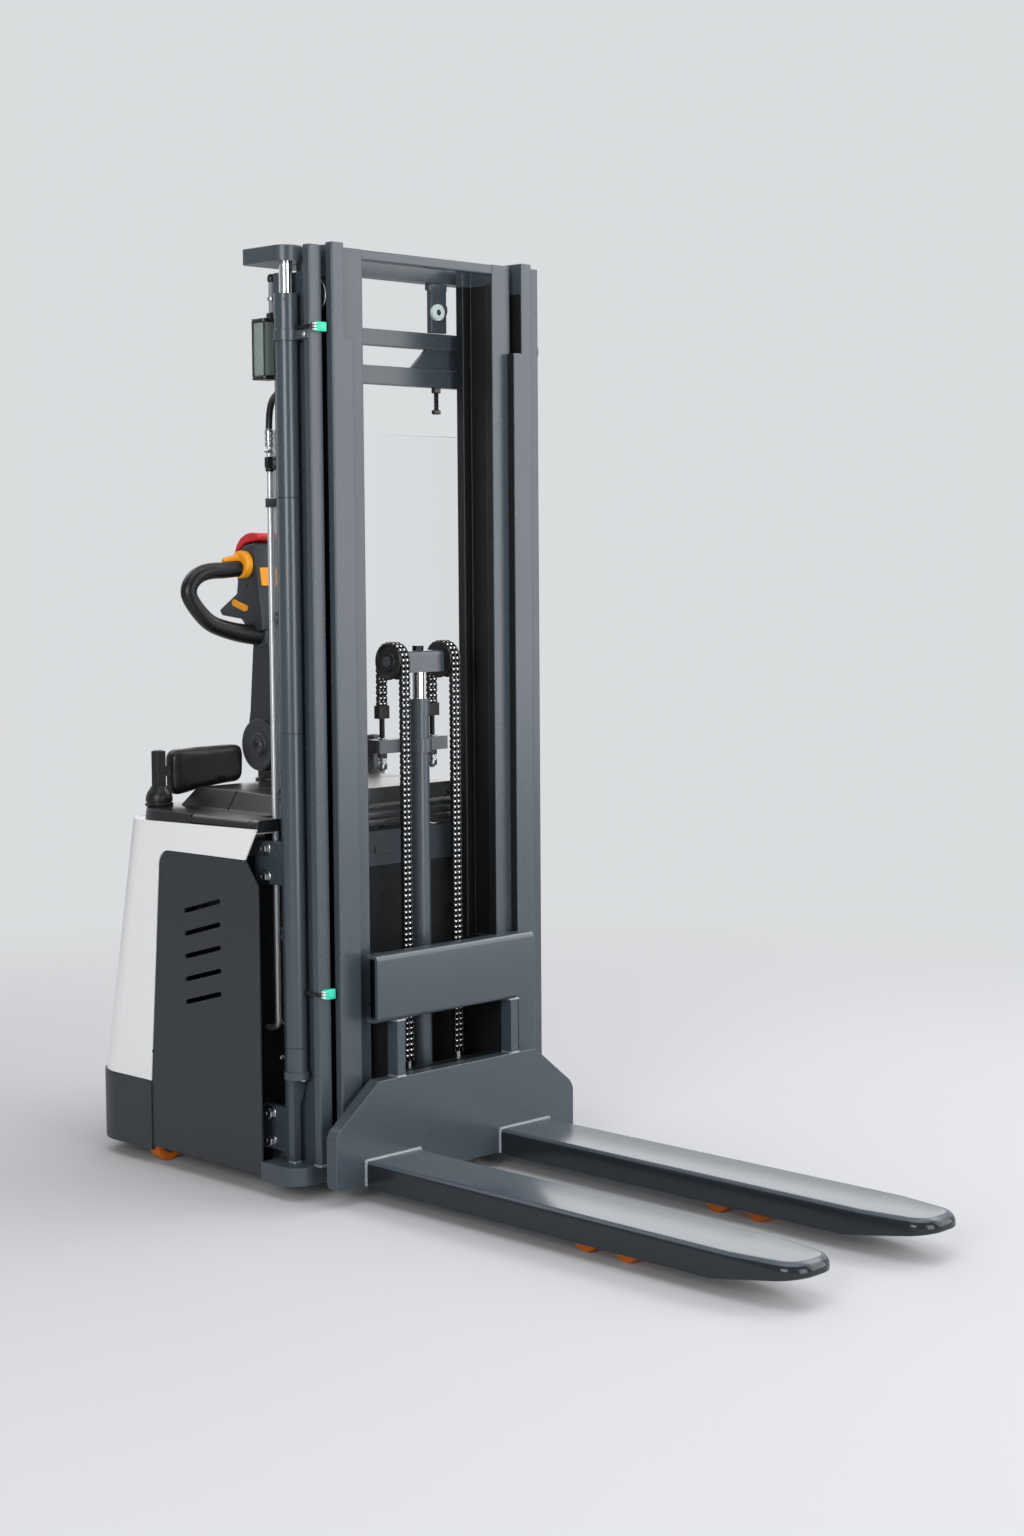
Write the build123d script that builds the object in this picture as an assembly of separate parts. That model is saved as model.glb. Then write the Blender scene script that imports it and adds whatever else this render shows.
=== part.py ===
"""Ride-on electric stacker with a three-stage mast, built as separate named pieces.

All sizes are in millimetres. While building, x runs forward with x = 0 on the carriage
face, y runs to the left of a driver who faces the forks, and z runs up from the floor.
Pieces are moved along x when they are saved, so the middle of the length is x = 0.
"""
import math
import os

from build123d import *

os.makedirs("parts", exist_ok=True)

# Fits
RUN_GAP = 0.05          # radial gap of a pin in a turning bore
SLIDE_GAP = 0.3         # gap beside a roller or a sliding face
SHUT_GAP = 2.0          # gap between neighbouring covers

# Forks and carriage
FORK_LENGTH = 1150.0
FORK_SPREAD = 570.0
FORK_WIDTH = 160.0
FORK_TOP = 90.0
FORK_HEIGHT = 58.0
FORK_WALL = 8.0
FORK_TIP_WIDTH = 132.0
FORK_EDGE = 7.0
FORK_CENTRE = (FORK_SPREAD - FORK_WIDTH) / 2
FORK_LOW = FORK_TOP - FORK_HEIGHT
FORK_UNDER = FORK_TOP - FORK_WALL
PLATE_BACK = -32.0
PLATE_HALF = 369.0
PLATE_LOW = 37.0
PLATE_TOP = 259.0
PLATE_SHOULDER = 159.0
PLATE_TOP_HALF = 243.0
UPRIGHT_IN = 165.0
UPRIGHT_OUT = 187.0
UPRIGHT_LOW = 85.0
UPRIGHT_TOP = 524.0
BACKREST_LOW = 384.5
BACKREST_TOP = 532.7
BACKREST_FRONT = -2.5
BACKREST_DEPTH = 36.0
BACKREST_WALL = 8.0
BACKREST_BACK = BACKREST_FRONT - BACKREST_DEPTH

# Mast rails: x limits, y limits from the middle, heights
MAST_TOP = 2052.0
MAST_LOW = 85.0
ROLLER_R = 36.7
FLANGE = 22.0
RAIL_DEPTH = 2 * (FLANGE + ROLLER_R + SLIDE_GAP)
RAIL_PLAY = 0.5
OUTER_FRONT = -77.0
OUTER_BACK = OUTER_FRONT - RAIL_DEPTH
OUTER_WEB_IN = 313.0
OUTER_WEB_OUT = 324.0
OUTER_FLANGE_OUT = 346.0
OUTER_REAR_FLANGE = 20.0
OUTER_REAR_FLANGE_FRONT = OUTER_BACK + OUTER_REAR_FLANGE
OUTER_TOP = MAST_TOP
OUTER_WEB_TOP = MAST_TOP - 52
MIDDLE_FRONT = -55.0
MIDDLE_BACK = MIDDLE_FRONT - RAIL_DEPTH + RAIL_PLAY
MIDDLE_IN = 244.0
MIDDLE_OUT = 302.0
MIDDLE_WEB_IN = 269.0
MIDDLE_WEB_OUT = 281.0
MIDDLE_TOP = MAST_TOP + 6
MIDDLE_NOTCH = MAST_TOP - 197
INNER_FRONT = -77.0
INNER_BACK = INNER_FRONT - RAIL_DEPTH
INNER_IN = 197.0
INNER_OUT = 252.0
INNER_WEB_IN = 222.0
INNER_WEB_OUT = 232.0
INNER_TOP = MAST_TOP
INNER_NOTCH = 190.0
FLOOR_OF_MAST = 75.0

# Mast rollers
STUB_R = 12.0
SHOULDER_R = 16.0
TOP_ROLLER_Z = MAST_TOP - 102
INNER_ROLLER_Z = 135.0
CARRIAGE_ROLLER_LOW = 132.0
CARRIAGE_ROLLER_HIGH = 445.0
OUTER_ROLLER_X = (MIDDLE_FRONT - FLANGE + MIDDLE_BACK + FLANGE) / 2
INNER_ROLLER_X = OUTER_ROLLER_X
MIDDLE_ROLLER_X = (INNER_FRONT + INNER_BACK) / 2
CARRIAGE_ROLLER_X = MIDDLE_ROLLER_X
UPRIGHT_BACK = CARRIAGE_ROLLER_X - 14

# Side lift cylinders and their yoke
CYL_R = 24.5
CYL_WALL = 5.0
CYL_GAP = 1.5
CYL_X = OUTER_REAR_FLANGE_FRONT + CYL_R + CYL_GAP
CYL_Y = OUTER_WEB_OUT + CYL_R + CYL_GAP
CYL_BORE = CYL_R - CYL_WALL
CYL_LOW = 277.0
CYL_TOP = MAST_TOP - 99
CYL_GLAND = 40.0
ROD_R = 14.5
RING_R = CYL_R + 4.5
RING_LOW = 261.0
SLEEVE_R = CYL_R + 2
COLUMN_HALF = 9.0
CLAMP_LOW = CYL_TOP - 100
CLAMP_TOP = CYL_TOP - 75
EAR_ZS = (CLAMP_LOW + 2, CLAMP_TOP - 4)
EAR_BOLT_X = OUTER_FRONT - FLANGE - 10
EAR_BOLT_Z = CLAMP_LOW + 11
YOKE_LOW = MAST_TOP - 33
YOKE_TOP = MAST_TOP
YOKE_BACK = OUTER_BACK - 61
YOKE_FRONT = OUTER_BACK - 20
YOKE_END_R = 36.0
BUFFER_Y = 168.0

# Free-lift cylinder, crosshead and chains
LIFT_X = -124.0
LIFT_R = 23.5
LIFT_BORE = 18.5
LIFT_CAP_R = 25.5
LIFT_CAP_LOW = 1043.0
LIFT_CAP_TOP = 1077.0
LIFT_ROD_R = 13.0
WHEEL_Z = 1163.0
CHAIN_Y = 77.0
CHAIN_WIDTH = 25.0
CHAIN_THICK = 12.0
CHAIN_PITCH_R = 38.0
CHAIN_LOW = 266.0
CHAIN_BACK_LOW = 1063.0
SHEAVE_R = 47.0
SHEAVE_WIDTH = 32.0
AXLE_R = 12.0

# Base frame and load wheels
FOOT_LOW = 35.0
FOOT_R = 46.0
FOOT_BACK = -211.0
FOOT_FRONT = -92.0
FOOT_HALF = 405.0
FOOT_CORNER = 46.0
LEG_WIDTH = 120.0
LEG_LOW = 34.0
LEG_TOP = 75.0
LEG_END = 790.0
LOAD_WHEEL_R = 37.0
LOAD_WHEEL_WIDTH = 70.0
LOAD_AXLE_R = 8.0
LOAD_WHEEL_XS = (603.6, 714.2)

# Guard sheet and hydraulic pipe
GUARD_X = OUTER_BACK - 75
GUARD_WALL = 6.0
GUARD_LOW = 355.0
GUARD_TOP = MAST_TOP - 378
GUARD_RIGHT = -295.0
GUARD_LEFT = 305.0
PIPE_Y = -308.0
PIPE_X = GUARD_X + 8
PIPE_R = 6.5
HOSE_R = 7.5
HOSE_BEND = 56.0
PORT_Y = -328.0

# Chassis and covers
BODY_HALF = 402.0
PANEL_WALL = 6.0
PANEL_LOW = 45.0
PANEL_TOP = 735.0
COVER_HALF = 403.5
COVER_WALL = 5.0
COVER_LOW = 197.0
COVER_TOP = 798.0
COVER_REAR_LOW = -845.0
COVER_REAR_TOP = -721.0
COVER_CORNER = 100.0
COVER_LIP = 9.0
COVER_FRONT = -200.0
SKIRT_HALF = 405.0
SKIRT_WALL = 8.0
SKIRT_LOW = 35.0
SKIRT_TOP = 195.0
SKIRT_REAR = -857.0
SKIRT_FRONT = -607.0
DECK_TOP = 825.0
DECK_HALF = 397.0
DECK_REAR = -685.0
DECK_SEAM = -451.0
LID_FRONT = GUARD_X - 13
HOOD_BASE = 290.0
HOOD_TOP_HALF = 262.0
HOOD_REAR = -624.0
HOOD_HIGH = 867.0
HOOD_LOW = 863.0
SHELF_FRONT = -588.0
FRAME_FRONT = GUARD_X - 27
FRAME_HALF = 330.0
DRIVE_PLATE_LOW = 330.0
DRIVE_PLATE_TOP = 342.0

# Steering, tiller and drive
STEER_X = -640.0
PITCH_X = -636.0
PITCH_Z = 950.0
PEDESTAL_R = 42.0
HUB_R = 62.0
HUB_HALF = 46.0
LUG_HALF = 18.0
PIN_R = 10.0
DRIVE_WHEEL_R = 115.0
DRIVE_WHEEL_WIDTH = 75.0
HEAD_HALF = 52.0
LOOP_X = -680.0
LOOP_R = 17.5
THROTTLE_X = -668.0
THROTTLE_Z = 1380.0
THROTTLE_R = 33.0

# Guard arms, platform and casters
POST_X = -648.0
POST_Y = 334.0
POST_SIDE = 25.0
POST_TOP = 952.0
PAD_BACK = -680.0
PAD_FRONT = -635.0
PAD_OUT = 300.0
PAD_IN = 86.0
PLATFORM_REAR = -900.0
PLATFORM_FRONT = -865.0
PLATFORM_HALF = 250.0
PLATFORM_LOW = 165.0
PLATFORM_TOP = 565.0
PLATFORM_AXIS_X = -870.0
CASTER_X = -625.0
CASTER_Y = 325.0
CASTER_TRAIL = 26.0
CASTER_R = 37.5
CASTER_WIDTH = 34.0
CASTER_PLATE_LOW = 112.0
CASTER_PLATE_TOP = 120.0

SHIFT = -(FORK_LENGTH + PLATFORM_REAR) / 2


# Helpers
def block(x0, x1, y0, y1, z0, z1):
    """Return a box between two limits on each axis."""
    size = Box(abs(x1 - x0), abs(y1 - y0), abs(z1 - z0))
    return Pos((x0 + x1) / 2, (y0 + y1) / 2, (z0 + z1) / 2) * size


def rod_x(x0, x1, y, z, radius):
    """Return a cylinder along x."""
    return Pos((x0 + x1) / 2, y, z) * Rot(0, 90, 0) * Cylinder(radius, abs(x1 - x0))


def rod_y(x, y0, y1, z, radius):
    """Return a cylinder along y."""
    return Pos(x, (y0 + y1) / 2, z) * Rot(90, 0, 0) * Cylinder(radius, abs(y1 - y0))


def rod_z(x, y, z0, z1, radius):
    """Return a cylinder along z."""
    return Pos(x, y, (z0 + z1) / 2) * Cylinder(radius, abs(z1 - z0))


def hex_z(x, y, z0, z1, radius):
    """Return a hexagonal bar along z."""
    return Pos(x, y, z0) * extrude(RegularPolygon(radius, 6), z1 - z0)


def hex_y(x, y0, y1, z, radius):
    """Return a hexagonal bar along y."""
    bar = extrude(RegularPolygon(radius, 6), abs(y1 - y0))
    return Pos(x, max(y0, y1), z) * Rot(90, 0, 0) * bar


def plate_xz(points, y0, y1):
    """Return a plate drawn in the side view between two y limits."""
    face = make_face(Polyline(*points, close=True))
    return Pos(0, max(y0, y1), 0) * extrude(Plane.XZ * face, abs(y1 - y0))


def plate_yz(points, x0, x1):
    """Return a plate drawn in the front view between two x limits."""
    face = make_face(Polyline(*points, close=True))
    return Pos(min(x0, x1), 0, 0) * extrude(Plane.YZ * face, abs(x1 - x0))


def plate_xy(points, z0, z1):
    """Return a plate drawn in the top view between two heights."""
    face = make_face(Polyline(*points, close=True))
    return Pos(0, 0, z0) * extrude(face, z1 - z0)


def tube_along(points, bend, radius):
    """Return a round bar along straight runs that are joined by tangent arcs."""
    path = FilletPolyline(*points, radius=bend)
    return sweep(Plane(origin=path @ 0, z_dir=path % 0) * Circle(radius), path=path)


def mirrored(shape):
    """Return the left-hand copy of a right-hand shape."""
    return mirror(shape, about=Plane.XZ)


def soften(shape, axis, radius, test):
    """Round the edges along one axis whose middles pass a test."""
    edges = [e for e in shape.edges().filter_by(axis) if test(e.center())]
    return fillet(edges, radius)


def save(node, *shapes):
    """Write one node, with each piece as its own solid."""
    solids = []
    for shape in shapes:
        solids.extend(shape.solids())
    whole = Compound(solids) if len(solids) > 1 else solids[0]
    export_step(Pos(SHIFT, 0, 0) * whole, f"parts/{node}.step")


def save_pair(node, right):
    """Write a node that holds a right-hand piece and its left-hand copy."""
    save(node, right, mirrored(right))


# Forks: an inverted channel that tapers to the tip
def make_fork():
    """Return the right fork."""
    half = FORK_WIDTH / 2
    tip_half = FORK_TIP_WIDTH / 2
    taper_start = FORK_LENGTH - 140
    outline = [
        (0, -half),
        (taper_start, -half),
        (FORK_LENGTH, -tip_half),
        (FORK_LENGTH, tip_half),
        (taper_start, half),
        (0, half),
    ]
    bar = plate_xy(outline, FORK_LOW, FORK_TOP)
    bar = soften(bar, Axis.Z, 34, lambda c: c.X > FORK_LENGTH - 1)
    side = [
        (0, FORK_LOW),
        (FORK_LENGTH - 180, FORK_LOW),
        (FORK_LENGTH, FORK_TOP - 22),
        (FORK_LENGTH, FORK_TOP),
        (0, FORK_TOP),
    ]
    bar = bar & plate_xz(side, -half, half)
    top = bar.faces().sort_by(Axis.Z)[-1]
    rim = [e for e in top.edges() if e.center().X > 1]
    bar = fillet(rim, FORK_EDGE)
    hollow_half = half - FORK_WALL
    hollow = block(-1, FORK_LENGTH - 170, -hollow_half, hollow_half, FORK_LOW - 1, FORK_UNDER)
    nose = [
        (FORK_LENGTH - 171, -hollow_half),
        (FORK_LENGTH - 60, -tip_half + 10),
        (FORK_LENGTH - 60, tip_half - 10),
        (FORK_LENGTH - 171, hollow_half),
    ]
    bar = bar - hollow - plate_xy(nose, FORK_LOW - 1, FORK_UNDER)
    return Pos(0, -FORK_CENTRE, 0) * bar


right_fork = make_fork()
save("right_fork", right_fork)
save("left_fork", mirrored(right_fork))


# Carriage: plate, two uprights with roller stubs, backrest
def make_carriage_plate():
    """Return the plate that the forks are welded to."""
    outline = [
        (-PLATE_HALF, PLATE_LOW),
        (PLATE_HALF, PLATE_LOW),
        (PLATE_HALF, PLATE_SHOULDER),
        (PLATE_TOP_HALF, PLATE_TOP),
        (-PLATE_TOP_HALF, PLATE_TOP),
        (-PLATE_HALF, PLATE_SHOULDER),
    ]
    plate = plate_yz(outline, PLATE_BACK, 0)
    plate = soften(plate, Axis.X, 40, lambda c: abs(c.Z - PLATE_SHOULDER) < 1)
    plate = soften(plate, Axis.X, 14, lambda c: abs(c.Z - PLATE_LOW) < 1)
    notch_half = FORK_WIDTH / 2 - FORK_WALL
    for side in (-1, 1):
        middle = side * FORK_CENTRE
        plate -= block(-40, 1, middle - notch_half, middle + notch_half, 0, FORK_UNDER)
    return plate


save("carriage_plate", make_carriage_plate())


def make_carriage_frame():
    """Return both uprights, the bar between them, the chain anchors and roller stubs."""
    outline = [
        (UPRIGHT_BACK, UPRIGHT_LOW),
        (PLATE_BACK, UPRIGHT_LOW),
        (PLATE_BACK, PLATE_TOP),
        (-1, PLATE_TOP),
        (-1, BACKREST_LOW),
        (BACKREST_BACK, BACKREST_LOW),
        (BACKREST_BACK, UPRIGHT_TOP),
        (UPRIGHT_BACK, UPRIGHT_TOP),
    ]
    upright = plate_xz(outline, -UPRIGHT_OUT, -UPRIGHT_IN)
    upright = soften(upright, Axis.Y, 30, lambda c: c.X < UPRIGHT_BACK + 1)
    for height in (CARRIAGE_ROLLER_LOW, CARRIAGE_ROLLER_HIGH):
        upright += rod_y(CARRIAGE_ROLLER_X, -INNER_WEB_IN + 1, -UPRIGHT_OUT + 1, height, STUB_R)
        upright += rod_y(CARRIAGE_ROLLER_X, -INNER_IN, -UPRIGHT_OUT + 1, height, SHOULDER_R)
    frame = upright + mirrored(upright)
    frame += block(-76, PLATE_BACK, -UPRIGHT_IN - 1, UPRIGHT_IN + 1, 205, 255)
    for side in (-1, 1):
        anchor_y = side * CHAIN_Y
        frame += block(-95, -75, anchor_y - 13, anchor_y + 13, 205, 238)
        frame += rod_z(LIFT_X + CHAIN_PITCH_R, anchor_y, 190, CHAIN_LOW, 6)
        frame += hex_z(LIFT_X + CHAIN_PITCH_R, anchor_y, 193, 206, 10)
    return frame


save("carriage_frame", make_carriage_frame())


def make_backrest():
    """Return the folded plate above the carriage window."""
    rest = block(BACKREST_BACK, BACKREST_FRONT, -PLATE_TOP_HALF, PLATE_TOP_HALF, BACKREST_LOW, BACKREST_TOP)
    rest = soften(rest, Axis.Y, 12, lambda c: c.X > BACKREST_FRONT - 1)
    inside = block(
        BACKREST_BACK - 20,
        BACKREST_FRONT - BACKREST_WALL,
        -PLATE_TOP_HALF - 1,
        PLATE_TOP_HALF + 1,
        BACKREST_LOW + BACKREST_WALL,
        BACKREST_TOP - BACKREST_WALL,
    )
    inside = soften(inside, Axis.Y, 4, lambda c: c.X > BACKREST_FRONT - BACKREST_WALL - 1)
    rest -= inside
    for side in (-1, 1):
        rib = block(
            BACKREST_BACK,
            BACKREST_FRONT - BACKREST_WALL,
            side * UPRIGHT_IN,
            side * UPRIGHT_OUT,
            BACKREST_LOW + BACKREST_WALL,
            BACKREST_TOP - BACKREST_WALL,
        )
        rest += rib
    return rest


save("load_backrest", make_backrest())


# Rollers: each node is a left and right pair on one axis
def save_rollers(node, x, z, y_in, y_out):
    """Write a pair of rollers that turn on stubs."""
    ring = rod_y(x, -y_out, -y_in, z, ROLLER_R) - rod_y(x, -y_out - 1, -y_in + 1, z, STUB_R + RUN_GAP)
    ring = chamfer(ring.edges().filter_by(GeomType.CIRCLE).sort_by(SortBy.RADIUS)[-2:], 1.5)
    save_pair(node, ring)


OUTER_ROLLER_Y = (MIDDLE_WEB_OUT + 1.5, MIDDLE_OUT - 1)
MIDDLE_ROLLER_Y = (INNER_WEB_OUT + 1.5, INNER_OUT - 1)
INNER_ROLLER_Y = (MIDDLE_IN + 2, MIDDLE_WEB_IN - 1)
CARRIAGE_ROLLER_Y = (INNER_IN + 1, INNER_WEB_IN - 1.5)
save_rollers("outer_rollers", OUTER_ROLLER_X, TOP_ROLLER_Z, *OUTER_ROLLER_Y)
save_rollers("middle_rollers", MIDDLE_ROLLER_X, TOP_ROLLER_Z, *MIDDLE_ROLLER_Y)
save_rollers("inner_rollers", INNER_ROLLER_X, INNER_ROLLER_Z, *INNER_ROLLER_Y)
save_rollers("lower_carriage_rollers", CARRIAGE_ROLLER_X, CARRIAGE_ROLLER_LOW, *CARRIAGE_ROLLER_Y)
save_rollers("upper_carriage_rollers", CARRIAGE_ROLLER_X, CARRIAGE_ROLLER_HIGH, *CARRIAGE_ROLLER_Y)

# Guard sheet screws sit on brackets at these heights
GUARD_SCREW_Y = 284.0
GUARD_BRACKET_ZS = (560.0, 871.0, 1262.0, GUARD_TOP - 74)
MOUNT_BOLTS = (
    (OUTER_BACK - 55, 758.0),
    (OUTER_BACK - 55, 696.0),
    (OUTER_BACK - 49, 168.0),
    (OUTER_BACK - 49, 107.0),
)
BOLT_R = 6.0
BOLT_HOLE_R = 6.2
SCREW_R = 3.0
SCREW_HOLE_R = 3.2
EAR_IN = 316.0
EAR_OUT = 330.0
BRACKET_OUT = 345.0


def make_outer_rail():
    """Return the right outer rail with its brackets and roller stub."""
    rail = block(OUTER_BACK, OUTER_FRONT, -OUTER_WEB_OUT, -OUTER_WEB_IN, FLOOR_OF_MAST, OUTER_WEB_TOP)
    rail += block(
        OUTER_BACK,
        OUTER_REAR_FLANGE_FRONT,
        -OUTER_FLANGE_OUT,
        -OUTER_WEB_IN,
        FLOOR_OF_MAST,
        OUTER_WEB_TOP,
    )
    front = block(
        OUTER_FRONT - FLANGE,
        OUTER_FRONT,
        -OUTER_FLANGE_OUT,
        -OUTER_WEB_IN,
        FLOOR_OF_MAST,
        OUTER_TOP,
    )
    rail += soften(front, Axis.Z, 4, lambda c: c.Y < -OUTER_FLANGE_OUT + 1)
    rail += rod_y(OUTER_ROLLER_X, -OUTER_WEB_IN, -OUTER_ROLLER_Y[0], TOP_ROLLER_Z, STUB_R)
    rail += rod_y(OUTER_ROLLER_X, -OUTER_WEB_IN, -OUTER_ROLLER_Y[1] - 0.5, TOP_ROLLER_Z, SHOULDER_R)
    for reach, z0, z1 in ((95, 680, 775), (80, 89, 186)):
        rail += block(OUTER_BACK - reach, OUTER_BACK, -BRACKET_OUT, -EAR_OUT, z0, z1)
    for x, z in MOUNT_BOLTS:
        rail -= rod_y(x, -BRACKET_OUT - 1, -EAR_OUT + 1, z, BOLT_HOLE_R)
    for z in GUARD_BRACKET_ZS:
        rail += block(GUARD_X + 30, OUTER_BACK, -317, -304.5, z - 4, z + 4)
        rail += block(GUARD_X + 30, GUARD_X + 42, -317, -274, z - 4, z + 4)
        rail += block(GUARD_X + GUARD_WALL / 2, GUARD_X + 42, -292, -274, z - 4, z + 4)
        tab_back = GUARD_X + GUARD_WALL / 2
        rail += block(tab_back, tab_back + 6, -292, -274, z - 14, z + 14)
        rail -= rod_x(tab_back - 1, tab_back + 20, -GUARD_SCREW_Y, z + 9, SCREW_HOLE_R)
    return rail


save_pair("outer_rails", make_outer_rail())

BEAM_BACK = OUTER_BACK - 45
BEAM_FRONT = OUTER_BACK - 22
HIGH_BEAM = (MAST_TOP - 184, MAST_TOP - 148)
LOW_BEAM = (MAST_TOP - 270, MAST_TOP - 229)
STOP_BOLT_LOW = LOW_BEAM[0] - 60
STOP_BOLT_Y = 163.0


def make_outer_crossmembers():
    """Return the two beams behind the mast top, with the gusset between them."""
    beams = None
    for z0, z1 in (HIGH_BEAM, LOW_BEAM):
        beam = block(BEAM_BACK, BEAM_FRONT, -OUTER_FLANGE_OUT + 36, OUTER_FLANGE_OUT, z0, z1)
        beam += block(BEAM_BACK, OUTER_BACK, OUTER_WEB_IN, OUTER_FLANGE_OUT, z0, z1)
        beam += block(BEAM_BACK + 8, OUTER_BACK, -OUTER_WEB_IN, -OUTER_WEB_IN + 3, z0, z1)
        beams = beam if beams is None else beams + beam
    foot = block(BEAM_FRONT - 2, OUTER_BACK, -OUTER_WEB_OUT, -OUTER_WEB_IN + 3, LOW_BEAM[0], HIGH_BEAM[1])
    beams += foot
    gusset = [(80, LOW_BEAM[1] - 1), (300, LOW_BEAM[1] - 1), (300, HIGH_BEAM[0] + 1), (130, HIGH_BEAM[0] + 1)]
    beams += plate_yz(gusset, BEAM_BACK + 8, BEAM_BACK + 16)
    for side in (-1, 1):
        beams -= rod_z((BEAM_BACK + BEAM_FRONT) / 2, side * STOP_BOLT_Y, LOW_BEAM[0] - 1, LOW_BEAM[0] + 25, BOLT_HOLE_R)
    return beams


save("outer_crossmembers", make_outer_crossmembers())


def make_mast_guard():
    """Return the clear sheet behind the mast."""
    back = GUARD_X - GUARD_WALL / 2
    sheet = block(back, back + GUARD_WALL, GUARD_RIGHT, GUARD_LEFT, GUARD_LOW, GUARD_TOP)
    sheet = soften(sheet, Axis.X, 18, lambda c: True)
    for z in GUARD_BRACKET_ZS:
        for side in (-1, 1):
            sheet -= rod_x(back - 1, back + GUARD_WALL + 1, side * GUARD_SCREW_Y, z + 9, SCREW_HOLE_R)
    return sheet


save("mast_guard", make_mast_guard())


def make_mast_fasteners():
    """Return bolts, screws and stop bolts, each as its own solid."""
    pieces = []
    back = GUARD_X - GUARD_WALL / 2
    for side in (-1, 1):
        ear_face = OUTER_WEB_OUT + 6
        pin = rod_y(EAR_BOLT_X, side * OUTER_WEB_OUT, side * (ear_face + 4), EAR_BOLT_Z, SCREW_R)
        pieces.append(pin + rod_y(EAR_BOLT_X, side * ear_face, side * (ear_face + 4), EAR_BOLT_Z, 6))
        for x, z in MOUNT_BOLTS:
            bolt = hex_y(x, side * BRACKET_OUT, side * (BRACKET_OUT + 9), z, 11)
            bolt += rod_y(x, side * EAR_IN, side * (BRACKET_OUT + 1), z, BOLT_R)
            pieces.append(bolt)
        for z in GUARD_BRACKET_ZS:
            y = side * GUARD_SCREW_Y
            screw = rod_x(back - 4, back, y, z + 9, 6.5)
            screw += rod_x(back - 1, back + GUARD_WALL + 10, y, z + 9, SCREW_R)
            screw += rod_x(back + GUARD_WALL + 6, back + GUARD_WALL + 10, y, z + 9, 5)
            pieces.append(screw)
        stop_x = (BEAM_BACK + BEAM_FRONT) / 2
        stop = rod_z(stop_x, side * STOP_BOLT_Y, STOP_BOLT_LOW, LOW_BEAM[0] + 24, BOLT_R)
        stop += hex_z(stop_x, side * STOP_BOLT_Y, LOW_BEAM[0] - 12, LOW_BEAM[0], 11)
        stop += hex_z(stop_x, side * STOP_BOLT_Y, STOP_BOLT_LOW, STOP_BOLT_LOW + 10, 11)
        pieces.append(stop)
    return pieces


save("mast_fasteners", *make_mast_fasteners())


def rail_clearance():
    """Return the room that the right outer rail takes, for trimming rings beside it."""
    top = MAST_TOP + 50
    web = block(OUTER_BACK - 1, OUTER_FRONT, -OUTER_WEB_OUT - 0.5, -250, 0, top)
    flange = block(OUTER_BACK - 1, OUTER_REAR_FLANGE_FRONT + 0.5, -OUTER_FLANGE_OUT - 0.5, -250, 0, top)
    return web + flange


def make_lift_cylinder():
    """Return the right side lift cylinder."""
    tube = rod_z(CYL_X, -CYL_Y, CYL_LOW, CYL_TOP, CYL_R)
    ring = rod_z(CYL_X, -CYL_Y, RING_LOW, CYL_LOW + 1, RING_R)
    clamp = rod_z(CYL_X, -CYL_Y, CLAMP_LOW, CLAMP_TOP, RING_R - 1.5)
    clamp += block(CYL_X - 9, CYL_X + 9, -CYL_Y, -OUTER_WEB_OUT, CLAMP_LOW, CLAMP_TOP)
    sleeve = rod_z(CYL_X, -CYL_Y, CLAMP_TOP - 1, CYL_TOP, SLEEVE_R)
    collar = (ring + clamp + sleeve) - rail_clearance()
    ear = block(CYL_X + 15, OUTER_FRONT - FLANGE - 1, -OUTER_WEB_OUT - 6, -OUTER_WEB_OUT, *EAR_ZS)
    ear -= rod_y(EAR_BOLT_X, -OUTER_WEB_OUT - 7, -OUTER_WEB_OUT + 1, EAR_BOLT_Z, SCREW_HOLE_R)
    pad = block(CYL_X - 9, CYL_X + 9, -CYL_Y + 10, -OUTER_WEB_OUT, CLAMP_LOW + 4, CLAMP_TOP - 4)
    column_x = CYL_X - 5
    column_y = -CYL_Y - 5
    column = block(
        column_x - COLUMN_HALF,
        column_x + COLUMN_HALF,
        column_y - COLUMN_HALF,
        column_y + COLUMN_HALF,
        FLOOR_OF_MAST,
        RING_LOW + 1,
    )
    gusset = [(-CYL_Y, RING_LOW + 1), (-OUTER_WEB_OUT, RING_LOW - 6), (-CYL_Y, RING_LOW - 70)]
    body = tube + collar + pad + ear + column + plate_yz(gusset, CYL_X - 4, CYL_X + 4)
    body -= rod_z(CYL_X, -CYL_Y, CYL_LOW + 8, CYL_TOP - CYL_GLAND, CYL_BORE)
    body -= rod_z(CYL_X, -CYL_Y, CYL_TOP - CYL_GLAND - 1, CYL_TOP + 1, ROD_R + RUN_GAP)
    return body


save_pair("lift_cylinders", make_lift_cylinder())


def make_lift_rod():
    """Return the right lift rod with its piston."""
    rod = rod_z(CYL_X, -CYL_Y, CYL_LOW + 40, YOKE_LOW, ROD_R)
    return rod + rod_z(CYL_X, -CYL_Y, CYL_LOW + 20, CYL_LOW + 60, CYL_BORE - RUN_GAP)


save_pair("lift_rods", make_lift_rod())


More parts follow.
